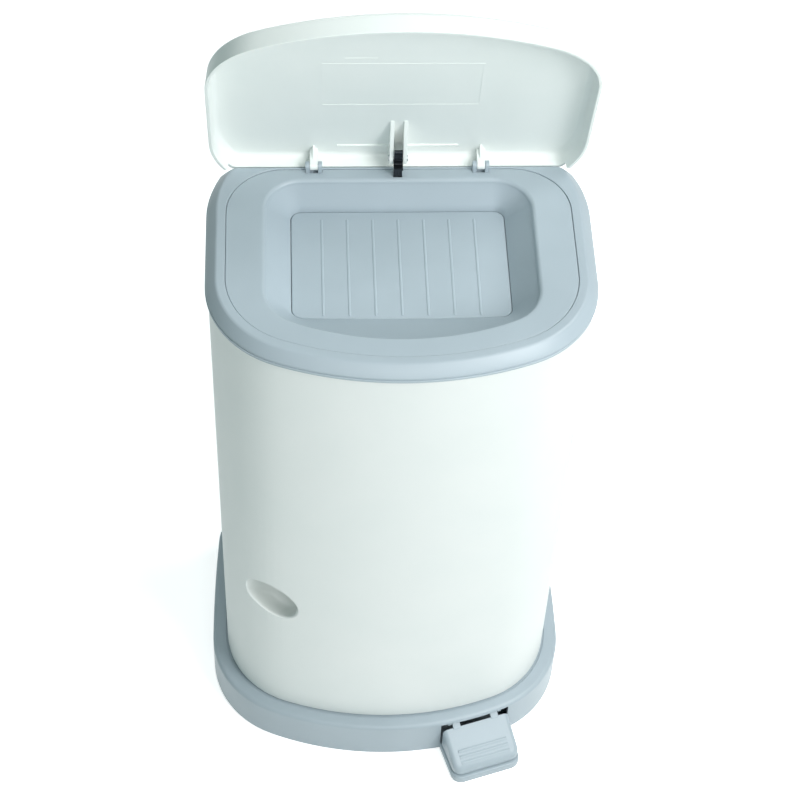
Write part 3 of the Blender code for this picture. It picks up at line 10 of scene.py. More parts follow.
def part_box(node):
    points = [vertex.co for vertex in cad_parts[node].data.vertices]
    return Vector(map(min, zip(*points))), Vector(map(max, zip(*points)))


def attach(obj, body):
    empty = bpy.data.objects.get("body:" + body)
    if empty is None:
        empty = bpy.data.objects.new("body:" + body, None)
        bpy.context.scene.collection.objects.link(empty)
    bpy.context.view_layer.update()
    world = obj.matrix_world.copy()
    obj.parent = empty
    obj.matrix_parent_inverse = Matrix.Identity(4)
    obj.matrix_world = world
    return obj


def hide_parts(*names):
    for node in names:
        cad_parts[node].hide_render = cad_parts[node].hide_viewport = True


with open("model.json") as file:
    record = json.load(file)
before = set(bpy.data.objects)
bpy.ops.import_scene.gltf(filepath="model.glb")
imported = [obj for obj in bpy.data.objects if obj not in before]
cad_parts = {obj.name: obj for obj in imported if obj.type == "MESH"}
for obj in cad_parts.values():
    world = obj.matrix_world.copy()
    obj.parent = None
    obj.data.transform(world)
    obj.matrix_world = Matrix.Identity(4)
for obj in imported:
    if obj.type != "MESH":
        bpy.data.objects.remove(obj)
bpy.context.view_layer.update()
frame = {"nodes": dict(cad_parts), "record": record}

# Metres, in the frame of the solids: the floor is z 0 and the front faces -Y.

# Clearances, and the reach of a cut past what it cuts
CLEARANCE = 0.0005
GAP = 0.0003
OVERRUN = 0.002

# Edge radii
EDGE = 0.0004
FINE_EDGE = 0.0003
TINY_EDGE = 0.0002
CREASE_EDGE = 0.0006

# Steps of the curves
FRONT_STEPS = 22
CORNER_STEPS = 14
REAR_STEPS = 9
BLEND_STEPS = 6
ROLL_STEPS = 7
ROUND_STEPS = 32
QUARTER_TURN = math.pi / 2

# Points this close are one point, and faces this nearly level are one face.
SAME_POINT = 1e-7
SAME_CAD_POINT = 1e-6
SAME_CAD_FACE = math.radians(0.3)

# Levels and walls
PAD_PROUD = 0.001
BASE_HEIGHT = 0.0439
COLLAR_LOW = 0.5263
DECK_HEIGHT = 0.5387
DECK_DROP = 0.0006
FUNNEL_DEPTH = 0.025
TRAY_LEVEL = DECK_HEIGHT - FUNNEL_DEPTH
WALL = 0.0025
ROD_HOLE_HALF = 0.0037

# A plan is a D: a bowed front, two front corners, straight sides up to the shoulder, and rear
# corners that start on one radius and end on another.
Outline = namedtuple("Outline", "half front back arc corner shoulder rear blend")

TOP_PLAN = Outline(0.1465, -0.0884, 0.1176, 0.269, 0.080, 0.0740, 0.087, 0.006)
BODY_PLAN = TOP_PLAN._replace(back=0.1240)
COLLAR_PLAN = Outline(0.1481, -0.0900, 0.1176, 0.2706, 0.0816, 0.0740, 0.0886, 0.006)
BASE_PLAN = Outline(0.1584, -0.1001, 0.1322, 0.273, 0.0856, 0.0042, 1.4074, 0.022)
CREASE_PLAN = Outline(0.1328, -0.0747, 0.1145, 0.2553, 0.0663, 0.0695, 0.045, 0.045)
RIM_PLAN = Outline(0.1017, -0.055, 0.102, 0.210, 0.033, 0.074, 0.028, 0.028)
FLOOR_PLAN = Outline(0.0835, -0.018, 0.092, 2.0, 0.0085, 0.0835, 0.0085, 0.0085)
LID_PLAN = Outline(0.1448, -0.0840, 0.1234, 0.269, 0.063, 0.0740, 0.0853, 0.006)


# Plans
def inset(outline, amount, back_amount=None):
    """The outline moved inwards, by another amount at its back edge if given."""
    moved_back = amount if back_amount is None else back_amount
    rear = outline.rear - amount
    return Outline(
        outline.half - amount, outline.front + amount, outline.back - moved_back,
        outline.arc - amount, outline.corner - amount, outline.shoulder, rear,
        rear if outline.blend == outline.rear else outline.blend,
    )


def between(first, second, share):
    """A ring of points part of the way from one ring to another."""
    return [Vector(a).lerp(Vector(b), share) for a, b in zip(first, second)]


def arc(x, y, radius, start, sweep, steps):
    """Points along an arc, without its first one."""
    angles = [start + sweep * step / steps for step in range(1, steps + 1)]
    return [(x + radius * math.cos(a), y + radius * math.sin(a)) for a in angles]


def corners(outline):
    """Points of a plan, anticlockwise from the middle of its front."""
    arc_y = outline.front + outline.arc
    corner_x = outline.half - outline.corner
    reach = outline.arc - outline.corner
    turn = math.asin(corner_x / reach)
    corner_y = arc_y - reach * math.cos(turn)
    rear_x = outline.half - outline.rear
    blend_y = outline.back - outline.blend
    span = outline.rear - outline.blend
    lean = math.asin((blend_y - outline.shoulder) / span) if span > GAP else QUARTER_TURN / 2
    blend_x = rear_x + span * math.cos(lean)
    right = [(0, outline.front)]
    right += arc(0, arc_y, outline.arc, -QUARTER_TURN, turn, FRONT_STEPS)
    right += arc(
        corner_x, corner_y, outline.corner, turn - QUARTER_TURN, QUARTER_TURN - turn, CORNER_STEPS
    )
    right.append((outline.half, outline.shoulder))
    right += arc(rear_x, outline.shoulder, outline.rear, 0, lean, REAR_STEPS)
    right += arc(blend_x, blend_y, outline.blend, lean, QUARTER_TURN - lean, BLEND_STEPS)
    return right + [(-x, y) for x, y in reversed(right[1:])]


def level(outline, z):
    """A plan as a ring of points at one height."""
    return [(x, y, z) for x, y in corners(outline)]


def quarter_round(radius):
    """The steps of a quarter-round edge: how far in from the wall, and how far off the flat."""
    for step in range(ROLL_STEPS + 1):
        angle = QUARTER_TURN * step / ROLL_STEPS
        yield radius * (1 - math.cos(angle)), radius * (1 - math.sin(angle))


def rolled(outline, edge, radius, way=1, side=1):
    """Rings of a quarter-round edge, from the upright wall to the flat at the height edge.

    way is 1 at a top edge and -1 at a bottom one; side is -1 where the wall faces inwards."""
    return [
        level(inset(outline, side * inward), edge - way * off)
        for inward, off in quarter_round(radius)
    ]


# Mesh tools
def add_object(name, data):
    """An object in the scene, at its origin."""
    piece = bpy.data.objects.new(name, data)
    bpy.context.scene.collection.objects.link(piece)
    return piece


def applied(piece):
    """The mesh of an object with its modifiers applied."""
    graph = bpy.context.evaluated_depsgraph_get()
    return bpy.data.meshes.new_from_object(piece.evaluated_get(graph))


def keep_mesh(shape, name):
    """Turn a bmesh into an object with its faces outwards."""
    bmesh.ops.remove_doubles(shape, verts=shape.verts, dist=SAME_POINT)
    bmesh.ops.recalc_face_normals(shape, faces=shape.faces)
    mesh = bpy.data.meshes.new(name)
    shape.to_mesh(mesh)
    shape.free()
    return add_object(name, mesh)


def skin(name, rings, closed=False):
    """A skin extruded from ring to ring; an open one is capped at both ends."""
    shape = bmesh.new()
    verts = [shape.verts.new(point) for point in rings[0]]
    loop = [shape.edges.new(pair) for pair in zip(verts, verts[1:] + verts[:1])]
    ends = [loop]
    for ring in rings[1:] + rings[:1] if closed else rings[1:]:
        made = bmesh.ops.extrude_edge_only(shape, edges=loop)["geom"]
        fresh = {item for item in made if isinstance(item, bmesh.types.BMVert)}
        verts = [
            next(e.other_vert(v) for e in v.link_edges if e.other_vert(v) in fresh) for v in verts
        ]
        for vert, point in zip(verts, ring):
            vert.co = point
        loop = [
            next(e for e in v.link_edges if e.other_vert(v) is after)
            for v, after in zip(verts, verts[1:] + verts[:1])
        ]
    ends.append(loop)
    if not closed:
        for edges in ends:
            bmesh.ops.contextual_create(shape, geom=edges)
    return keep_mesh(shape, name)


def soften(shape, width, angle):
    """Bevel every edge that is sharper than the angle in degrees."""
    limit = math.radians(angle)
    edges = [e for e in shape.edges if e.is_manifold and e.calc_face_angle() > limit]
    bmesh.ops.bevel(
        shape, geom=edges, offset=width, segments=2, profile=0.5, affect="EDGES",
        material=-1, clamp_overlap=True,
    )


def slab(name, points, depth, width=0.0):
    """A flat outline extruded by a vector, its edges softened."""
    shape = bmesh.new()
    face = shape.faces.new([shape.verts.new(point) for point in points])
    made = bmesh.ops.extrude_face_region(shape, geom=[face])["geom"]
    moved = [item for item in made if isinstance(item, bmesh.types.BMVert)]
    bmesh.ops.translate(shape, verts=moved, vec=Vector(depth))
    if width:
        soften(shape, width, angle=30)
    return keep_mesh(shape, name)


def block(name, low, high, width=0.0):
    """A box between two corners, its edges softened."""
    x0, y0, z0 = low
    x1, y1, z1 = high
    base = [(x0, y0, z0), (x1, y0, z0), (x1, y1, z0), (x0, y1, z0)]
    return slab(name, base, (0, 0, z1 - z0), width)


def bar(name, start, end, radius, width=0.0, steps=ROUND_STEPS):
    """A round bar between two points, its ends softened."""
    start = Vector(start)
    run = Vector(end) - start
    shape = bmesh.new()
    bmesh.ops.create_cone(
        shape, cap_ends=True, segments=steps, radius1=radius, radius2=radius, depth=run.length
    )
    if width:
        soften(shape, width, angle=60)
    turn = run.to_track_quat("Z", "Y").to_matrix().to_4x4()
    pose = Matrix.Translation(start + run / 2) @ turn
    bmesh.ops.transform(shape, matrix=pose, verts=shape.verts)
    return keep_mesh(shape, name)


def lug(name, near, far, radius, root, width=0.0):
    """A round-ended web about the line near-far, its square end at root from it."""
    near, far, root = Vector(near), Vector(far), Vector(root)
    down = root.normalized()
    side = (far - near).normalized().cross(down) * radius
    steps = ROUND_STEPS // 2
    points = []
    for step in range(steps + 1):
        angle = math.pi * step / steps
        points.append(near + side * math.cos(angle) - down * radius * math.sin(angle))
    points += [near + root - side, near + root + side]
    return slab(name, points, far - near, width)


def combine(target, operation, tools):
    """Unite tools with a piece, cut them out of it, or keep what they share."""
    for tool in tools:
        modifier = target.modifiers.new(operation, "BOOLEAN")
        modifier.operation = operation
        modifier.solver = "EXACT"
        modifier.object = tool
        mesh = applied(target)
        target.modifiers.clear()
        target.data = mesh
        bpy.data.objects.remove(tool)


def join(target, *tools):
    combine(target, "UNION", tools)


def cut(target, *tools):
    combine(target, "DIFFERENCE", tools)


def place(piece, matrix):
    """The piece, moved in its mesh."""
    piece.data.transform(matrix)
    return piece


# Materials
# Flow shading in a moulding varies over patches about 70 mm wide.
FLOW_PER_METRE = 14.0
# Noise lies mostly between these values.
NOISE_SPAN = (0.3, 0.7)


def srgb(code):
    """A linear colour from an sRGB hex value."""
    parts = [int(code[start:start + 2], 16) / 255 for start in (0, 2, 4)]
    line = [part / 12.92 if part <= 0.04045 else ((part + 0.055) / 1.055) ** 2.4 for part in parts]
    return (*line, 1.0)


def add_node(tree, kind, sockets, **settings):
    """A node with its settings; each socket gets a value or another node's output."""
    node = tree.nodes.new(kind)
    for name, value in settings.items():
        setattr(node, name, value)
    for name, value in sockets.items():
        if isinstance(value, bpy.types.NodeSocket):
            tree.links.new(value, node.inputs[name])
        else:
            node.inputs[name].default_value = value
    return node


def new_material(name):
    """An empty material, its node tree, and the output that gives the place on the piece."""
    material = bpy.data.materials.new(name)
    material.use_nodes = True
    tree = material.node_tree
    tree.nodes.clear()
    return material, tree, add_node(tree, "ShaderNodeTexCoord", {}).outputs["Object"]


def surface(tree, tone, marks, light, deep, margin, roughness, spread, relief, shine):
    """Colour from the pattern tone, gloss and relief from marks, and shine for the shader.

    The colour runs from deep to light between margin and 1 - margin; relief is in metres."""
    tint = add_node(tree, "ShaderNodeValToRGB", {"Fac": tone.outputs["Fac"]})
    stops = ((margin, deep), (1 - margin, light))
    for element, (position, code) in zip(tint.color_ramp.elements, stops):
        element.position = position
        element.color = srgb(code)
    low, high = NOISE_SPAN
    gloss = add_node(
        tree, "ShaderNodeMapRange",
        {"Value": marks.outputs["Fac"], "From Min": low, "From Max": high,
         "To Min": roughness - spread, "To Max": roughness + spread},
    )
    bump = add_node(
        tree, "ShaderNodeBump",
        {"Height": marks.outputs["Fac"], "Strength": 1.0, "Distance": relief},
    )
    shader = add_node(
        tree, "ShaderNodeBsdfPrincipled",
        {"Base Color": tint.outputs["Color"], "Roughness": gloss.outputs["Result"],
         "Normal": bump.outputs["Normal"], **shine},
    )
    add_node(tree, "ShaderNodeOutputMaterial", {"Surface": shader.outputs["BSDF"]})


def moulded(name, light, deep, roughness, spread, grain, relief):
    """Moulded plastic or rubber: faint flow shading, and the grain of the tool.

    grain is the grain's width and relief its depth, both in metres."""
    material, tree, here = new_material(name)
    flow = add_node(
        tree, "ShaderNodeTexNoise", {"Vector": here, "Scale": FLOW_PER_METRE, "Detail": 2.0}
    )
    speck = add_node(
        tree, "ShaderNodeTexNoise",
        {"Vector": here, "Scale": 1 / grain, "Detail": 1.0, "Roughness": 0.5},
    )
    surface(tree, flow, speck, light, deep, 0.30, roughness, spread, relief, {"IOR": 1.5})
    return material


def drawn_metal(name, light, deep, roughness, spread, grain, relief, stretch):
    """Metal with fine marks: grain is their width, drawn out by stretch along Z."""
    material, tree, here = new_material(name)
    along = add_node(
        tree, "ShaderNodeMapping", {"Vector": here, "Scale": (1.0, 1.0, 1.0 / stretch)}
    )
    marks = add_node(
        tree, "ShaderNodeTexNoise",
        {"Vector": along.outputs["Vector"], "Scale": 1 / grain, "Detail": 4.0},
    )
    surface(tree, marks, marks, light, deep, 0.35, roughness, spread, relief, {"Metallic": 1.0})
    return material


# The grain of an eroded tool is 0.05 to 0.2 mm wide, and a drawing mark is finer still. Both
# are too fine to show in the render, so they are drawn 0.4 to 0.9 mm wide.
FINISHES = {
    # Cool grey polypropylene from a finely eroded tool: satin, with a soft broad highlight.
    "grey_plastic": moulded(
        "grey_polypropylene", "ACB8C0", "A7B3BB", 0.38, 0.05, 0.0007, 0.00002
    ),
    # White polypropylene from a polished tool: an even satin. Its orange peel is 6 mm wide and
    # so shallow that it only keeps a highlight's edge from being dead straight.
    "white_plastic": moulded(
        "white_polypropylene", "EAECEA", "E7EAE8", 0.42, 0.02, 0.0060, 0.00001
    ),
    # The lid is the same white from a tool of the same kind, painted slightly brighter: painted
    # light that stands in for the light falling on its inside.
    "lid_plastic": moulded(
        "white_polypropylene_painted_lighter_on_lid", "F4F7F4", "F0F4F1", 0.40, 0.02, 0.0060, 0.00001
    ),
    # Dark grey acetal: waxy, half matt.
    "dark_plastic": moulded("dark_acetal", "3E444A", "353A40", 0.48, 0.05, 0.0009, 0.00002),
    # Soft rubber pads: matt and slightly dusty.
    "pad_rubber": moulded("moulded_rubber", "2C2E30", "232527", 0.82, 0.08, 0.0006, 0.00004),
    # Bright zinc plate on drawn steel: a pale metal with fine marks.
    "steel": drawn_metal(
        "zinc_plated_steel", "C9CCCF", "A9ADB2", 0.30, 0.06, 0.0004, 0.00001, 6.0
    ),
    # Blackened steel: dark, oily, half gloss.
    "dark_steel": drawn_metal(
        "blackened_steel", "4A4E53", "33363A", 0.36, 0.06, 0.0005, 0.00001, 10.0
    ),
}
BODY_OF = {
    node: body for body, nodes in frame["record"]["behaviour"]["bodies"].items() for node in nodes
}
SLOT_OF = {row["node"]: row["material_slot"] for row in frame["record"]["subparts"]}
SHARP_ANGLE = math.radians(32)


def finish(piece, *nodes, width=0.0):
    """Give a piece its material, smooth faces and body, and let it stand for CAD nodes."""
    slot = SLOT_OF[nodes[0]]
    piece.data.materials.clear()
    piece.data.materials.append(FINISHES[slot])
    piece.data.shade_smooth()
    piece.data.set_sharp_from_angle(angle=SHARP_ANGLE)
    if width:
        bevel = piece.modifiers.new("edges", "BEVEL")
        bevel.width = width
        bevel.segments = 2
        bevel.limit_method = "ANGLE"
        bevel.angle_limit = SHARP_ANGLE
        bevel.harden_normals = True
    weights = piece.modifiers.new("shading", "WEIGHTED_NORMAL")
    weights.keep_sharp = True
    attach(piece, BODY_OF[nodes[0]])
    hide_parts(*nodes)


def carried(name, node):
    """A solid's own shape, with its flat faces made whole."""
    shape = bmesh.new()
    shape.from_mesh(frame["nodes"][node].data)
    bmesh.ops.remove_doubles(shape, verts=shape.verts, dist=SAME_CAD_POINT)
    bmesh.ops.dissolve_limit(
        shape, angle_limit=SAME_CAD_FACE, verts=shape.verts, edges=shape.edges
    )
    mesh = bpy.data.meshes.new(name)
    shape.to_mesh(mesh)
    shape.free()
    return add_object(name, mesh)


# Pedal frame: along the wall, outwards, and up
PEDAL_X = 0.0787
PEDAL_TURN = math.asin(PEDAL_X / BASE_PLAN.arc)
PEDAL_Y = BASE_PLAN.front + BASE_PLAN.arc * (1 - math.cos(PEDAL_TURN))
PEDAL_FRAME = Matrix.Translation((PEDAL_X, PEDAL_Y, 0)) @ Matrix.Rotation(PEDAL_TURN, 4, "Z")
PEDAL_PIN_DEPTH = 0.0045
PEDAL_PIN_Z = 0.0365
PEDAL_PIN_HALF = 0.0253
PEDAL_PIN_RADIUS = 0.0012


def pedal_point(along, outwards, z):
    return PEDAL_FRAME @ Vector((along, -outwards, z))


def pedal_ring(half, corner, back, reach, z_back, z_front):
    """A rectangle with two round front corners; its height may change from back to front."""
    front = arc(half - corner, reach - corner, corner, 0, QUARTER_TURN, BLEND_STEPS)
    side = [(half, back), (half, reach - corner)] + front
    points = side + [(-along, outwards) for along, outwards in reversed(side)]
    ring = []
    for along, outwards in points:
        share = (outwards - back) / (reach - back)
        z = z_back + (z_front - z_back) * share
        ring.append(pedal_point(along, outwards, z))
    return ring


# Base
# The groove round the body's foot: how far in from its plan, and how far below the base's top
FOOT_GROOVE = (
    (-0.0004, 0), (-0.0001, 0.0002), (0.0002, 0.0009), (0.0026, 0.0009), (0.0028, 0),
)


def make_plinth():
    """The grey base: a hollow moulding with a slot for the pedal and its tongue."""
    wall, top_roll = 0.003, 0.004
    ceiling = BASE_HEIGHT - wall
    inner = inset(BASE_PLAN, wall)
    rings = [level(inner, ceiling), level(inner, PAD_PROUD)]
    rings += reversed(rolled(BASE_PLAN, PAD_PROUD, EDGE, -1))
    rings += rolled(BASE_PLAN, BASE_HEIGHT, top_roll)
    rings += [level(inset(BODY_PLAN, inward), BASE_HEIGHT - drop) for inward, drop in FOOT_GROOVE]
    plinth = skin("plinth_moulding", rings)

    slot_half, slot_top, slot_reach = 0.0322, 0.040, 0.010
    slot = [(slot_half, 0.0), (slot_half, slot_top), (-slot_half, slot_top), (-slot_half, 0.0)]
    points = [pedal_point(along, -slot_reach, z) for along, z in slot]
    depth = pedal_point(0, slot_reach, 0) - pedal_point(0, -slot_reach, 0)
    cut(plinth, slab("slot", points, depth))

    ear_near, ear_radius = 0.0222, 0.0025
    foot = (0, 0, ceiling + wall / 2 - PEDAL_PIN_Z)
    for side in (-1, 1):
        ends = (side * ear_near, side * PEDAL_PIN_HALF)
        near, far = (pedal_point(x, -PEDAL_PIN_DEPTH, PEDAL_PIN_Z) for x in sorted(ends))
        join(plinth, lug("ear", near, far, ear_radius, foot, TINY_EDGE))

    rod_low, rod_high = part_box("push_rod")
    middle = (rod_low.y + rod_high.y) / 2
    hole_depth = 0.0014
    low = (-ROD_HOLE_HALF, middle - hole_depth, ceiling - OVERRUN)
    high = (ROD_HOLE_HALF, middle + hole_depth, BASE_HEIGHT + OVERRUN)
    cut(plinth, block("hole", low, high))
    finish(plinth, "base_plinth")


def make_tread():
    """The pedal: a soft-edged shell with three low ribs and two hinge arms."""
    half, reach, back, corner, roll = 0.0312, 0.0355, 0.0008, 0.008, 0.0045
    rear_top, drop, low = 0.0345, 0.0163, 0.0103
    slope = drop / (reach - back)

    def top_ring(amount, down, start=back):
        front = reach - amount
        ends = [rear_top - slope * (outwards - back) - down for outwards in (start, front)]
        return pedal_ring(half - amount, corner - amount, start, front, *ends)

    rings = [pedal_ring(half - EDGE, corner - EDGE, back, reach - EDGE, low, low)]
    rings.append(pedal_ring(half, corner, back, reach, low + EDGE, low + EDGE))
    rings += [top_ring(inward, off) for inward, off in quarter_round(roll)]
    tread = skin("tread_moulding", rings)

    wall, inner_corner = 0.0022, 0.006
    start, under = back - OVERRUN, low - OVERRUN
    hollow = [pedal_ring(half - wall, inner_corner, start, reach - wall, under, under)]
    hollow += [top_ring(wall, roll, start), top_ring(roll, wall, start)]
    cut(tread, skin("hollow", hollow))

    ribs, rib_steps, rib_half, rib_root = 3, 12, 0.023, 0.001
    rib_start, rib_pitch, rib_width, rib_rise, rib_sink = 0.0185, 0.0048, 0.0040, 0.00075, 0.00002
    depth = pedal_point(rib_half, 0, 0) - pedal_point(-rib_half, 0, 0)
    for index in range(ribs):
        near = rib_start + index * rib_pitch
        profile = []
        for step in range(rib_steps + 1):
            share = step / rib_steps
            outwards = near + rib_width * share
            rise = rib_rise * math.sin(math.pi * share) ** 2 - rib_sink
            profile.append((outwards, rear_top - slope * (outwards - back) + rise))
        (first, first_z), (last, last_z) = profile[0], profile[-1]
        profile += [(last, last_z - rib_root), (first, first_z - rib_root)]
        points = [pedal_point(-rib_half, outwards, z) for outwards, z in profile]
        join(tread, slab("rib", points, depth))

    arm_x, arm_half, arm_radius = 0.018, 0.0035, 0.0026
    root = pedal_point(0, PEDAL_PIN_DEPTH + back, rear_top - wall) - pedal_point(0, 0, PEDAL_PIN_Z)
    for side in (-1, 1):
        ends = [side * arm_x - arm_half, side * arm_x + arm_half]
        near, far = (pedal_point(x, -PEDAL_PIN_DEPTH, PEDAL_PIN_Z) for x in ends)
        join(tread, lug("arm", near, far, arm_radius, root, EDGE))
    finish(tread, "pedal_tread")


# Body
BODY_LOW = BASE_HEIGHT + GAP
BODY_HIGH = COLLAR_LOW - GAP
FOOT_TAPER = 0.0016
HEAD_TAPER = 0.0006
BODY_EDGE = 0.0005
SPLIT_Y = 0.072
DOOR_HINGE = (0.1405, 0.066)


def body_shell(name, flange, low, high):
    """The whole D wall, slightly drawn in towards its foot, with a flange at each end."""

    def ring(depth, z):
        taper = FOOT_TAPER + (HEAD_TAPER - FOOT_TAPER) * (z - low) / (high - low)
        return level(inset(inset(BODY_PLAN, taper, 0), depth), z)

    rings = [ring(off, low + inward) for inward, off in quarter_round(BODY_EDGE)]
    rings += [ring(inward, high - off) for inward, off in quarter_round(BODY_EDGE)]
    rings += [
        ring(flange, high), ring(flange, high - WALL), ring(WALL, high - WALL),
        ring(WALL, low + WALL), ring(flange, low + WALL), ring(flange, low),
    ]
    return skin(name, rings, closed=True)


def halve(piece, y, front):
    """Keep what lies in front of, or behind, a plane, and close the cut."""
    shape = bmesh.new()
    shape.from_mesh(piece.data)
    made = bmesh.ops.bisect_plane(
        shape, geom=shape.verts[:] + shape.edges[:] + shape.faces[:], plane_co=(0, y, 0),
        plane_no=(0, 1, 0), clear_outer=front, clear_inner=not front,
    )["geom_cut"]
    edges = [item for item in made if isinstance(item, bmesh.types.BMEdge)]
    bmesh.ops.holes_fill(shape, edges=edges)
    rim = [edge for edge in edges if edge.is_valid]
    bmesh.ops.bevel(
        shape, geom=rim, offset=EDGE, segments=3, profile=0.5, affect="EDGES", material=-1
    )
    shape.to_mesh(piece.data)
    shape.free()
    return piece


def make_rear_frame():
    """The fixed back of the body, its flanges holed for the push rod."""
    flange, hole_half, hole_front, hole_back = 0.014, 0.004, 0.101, 0.109
    rear = halve(body_shell("rear_moulding", flange, BODY_LOW, BODY_HIGH), SPLIT_Y, False)
    low = (-hole_half, hole_front, BODY_LOW - OVERRUN)
    cut(rear, block("hole", low, (hole_half, hole_back, BODY_HIGH + OVERRUN)))
    finish(rear, "rear_frame")


# The finger recess, at the left front corner. Its mouth is an uneven oval, given as shares of
# its half sizes, and each row of the pocket gives a depth and the share of the mouth there.
RECESS_CENTRE_Z = 0.2055
RECESS_TURN = math.radians(27.8)
RECESS_HALF = (0.0263, 0.0216)
RECESS_SHARES = [
    (-1.00, 0.09), (-0.88, 0.44), (-0.71, 0.69), (-0.31, 0.94), (0.06, 0.97),
    (0.39, 0.80), (0.61, 0.58), (0.79, 0.25), (0.88, -0.13), (0.85, -0.50),
    (0.68, -0.81), (0.44, -0.99), (0.17, -1.00), (-0.12, -0.93), (-0.41, -0.79),
    (-0.73, -0.64), (-0.95, -0.44),
]
RECESS_WAIST = 1.02
RECESS_POCKET = [
    (-0.0050, 1.16), (-0.0016, 1.10), (-0.0003, 1.05), (0.0010, RECESS_WAIST),
    (0.0050, RECESS_WAIST), (0.0110, RECESS_WAIST), (0.0170, 0.96), (0.0215, 0.80),
    (0.0240, 0.45), (0.0246, 0.15),
]
RECESS_DEPTH = 0.024
RECESS_WALL = 0.0025
# How far the pocket drops towards its end, and its mouth where it flares, in half heights
RECESS_DROP = 0.95
RECESS_MOUTH_DROP = 0.7


def recess_point(along, depth, up):
    """A point counted along the left front corner, inwards and up from the recess's middle."""
    wall = inset(BODY_PLAN, FOOT_TAPER)
    corner_x = wall.half - wall.corner
    reach = wall.arc - wall.corner
    corner_y = wall.front + wall.arc - math.sqrt(reach**2 - corner_x**2)
    angle = RECESS_TURN - along / wall.corner
    radius = wall.corner - depth
    x = -corner_x - radius * math.sin(angle)
    return Vector((x, corner_y - radius * math.cos(angle), RECESS_CENTRE_Z + up))


def recess_form(name, grow, pocket):
    """A pocket that drops behind its lower edge as it goes in, made larger by grow."""
    rings = []
    for depth, share in pocket:
        flare = max(share - RECESS_WAIST, 0)
        lift = -RECESS_DROP * max(depth, 0) / RECESS_DEPTH - RECESS_MOUTH_DROP * flare
        ring = []
        for along_share, up_share in RECESS_SHARES:
            along = along_share * share
            up = up_share * share + lift
            length = math.hypot(along_share, up_share)
            ring.append(recess_point(
                along * RECESS_HALF[0] + grow * along_share / length, depth,
                up * RECESS_HALF[1] + grow * up_share / length,
            ))
        rings.append(ring)
    form = skin(name, rings)
    smooth = form.modifiers.new("smooth", "SUBSURF")
    smooth.levels = 2
    smooth.render_levels = 2
    form.data = applied(form)
    form.modifiers.clear()
    return form


def make_front():
    """The curved front, which is the door: barrel at its right, finger recess at its left."""
    low = BODY_LOW + GAP
    high = BODY_HIGH - GAP
    split = SPLIT_Y - CLEARANCE
    flange = 0.0055
    door = halve(body_shell("door_moulding", flange, low, high), split, True)

    heel, outside = 0.011, 0.15
    heel_low = (DOOR_HINGE[0] - heel, DOOR_HINGE[1], 0)
    cut(door, block("heel", heel_low, (outside, SPLIT_Y + OVERRUN, high + OVERRUN)))

    lip_width, lip_front, lip_back = 0.004, 0.0025, 0.0001
    inner = BODY_PLAN.half - FOOT_TAPER - WALL
    lip_low = (-inner - WALL / 2, split - lip_front, low + WALL / 2)
    lip_high = (-inner + lip_width, split - lip_back, high - WALL / 2)
    join(door, block("lip", lip_low, lip_high))

    barrel_radius, bore_radius, bore_depth = 0.0044, 0.00215, 0.0125
    join(door, bar("barrel", (*DOOR_HINGE, low), (*DOOR_HINGE, high), barrel_radius))
    inside = inset(inset(BODY_PLAN, FOOT_TAPER, 0), WALL / 2)
    deeper = [(depth + RECESS_WALL, share) for depth, share in RECESS_POCKET]
    backing = recess_form("backing", RECESS_WALL, deeper)
    combine(backing, "INTERSECT", [skin("room", [level(inside, low), level(inside, high)])])
    join(door, backing)
    cut(door, recess_form("scoop", 0, RECESS_POCKET))
    for start, end in ((low - OVERRUN, low + bore_depth), (high + OVERRUN, high - bore_depth)):
        cut(door, bar("hole", (*DOOR_HINGE, start), (*DOOR_HINGE, end), bore_radius))
    finish(door, "front_door")


# Top
EAR_X = 0.065
EAR_RADIUS = 0.0034
LID_HINGE = (0.114, DECK_HEIGHT + 0.004)

# From the collar's bead to its flat border: how far in, and how far below the deck
COLLAR_SLOPE = (
    (0.0, 0.0092), (0.0001, 0.0087), (0.0003, 0.0081), (0.00215, 0.00578), (0.00422, 0.00343),
    (0.00657, 0.00108), (0.00712, 0.00065), (0.0078, 0.00029), (0.00854, 0.00007), (0.0093, 0.0),
)
# Along the flat back the slope has this share of its width elsewhere.
COLLAR_BACK_SHARE = 0.15


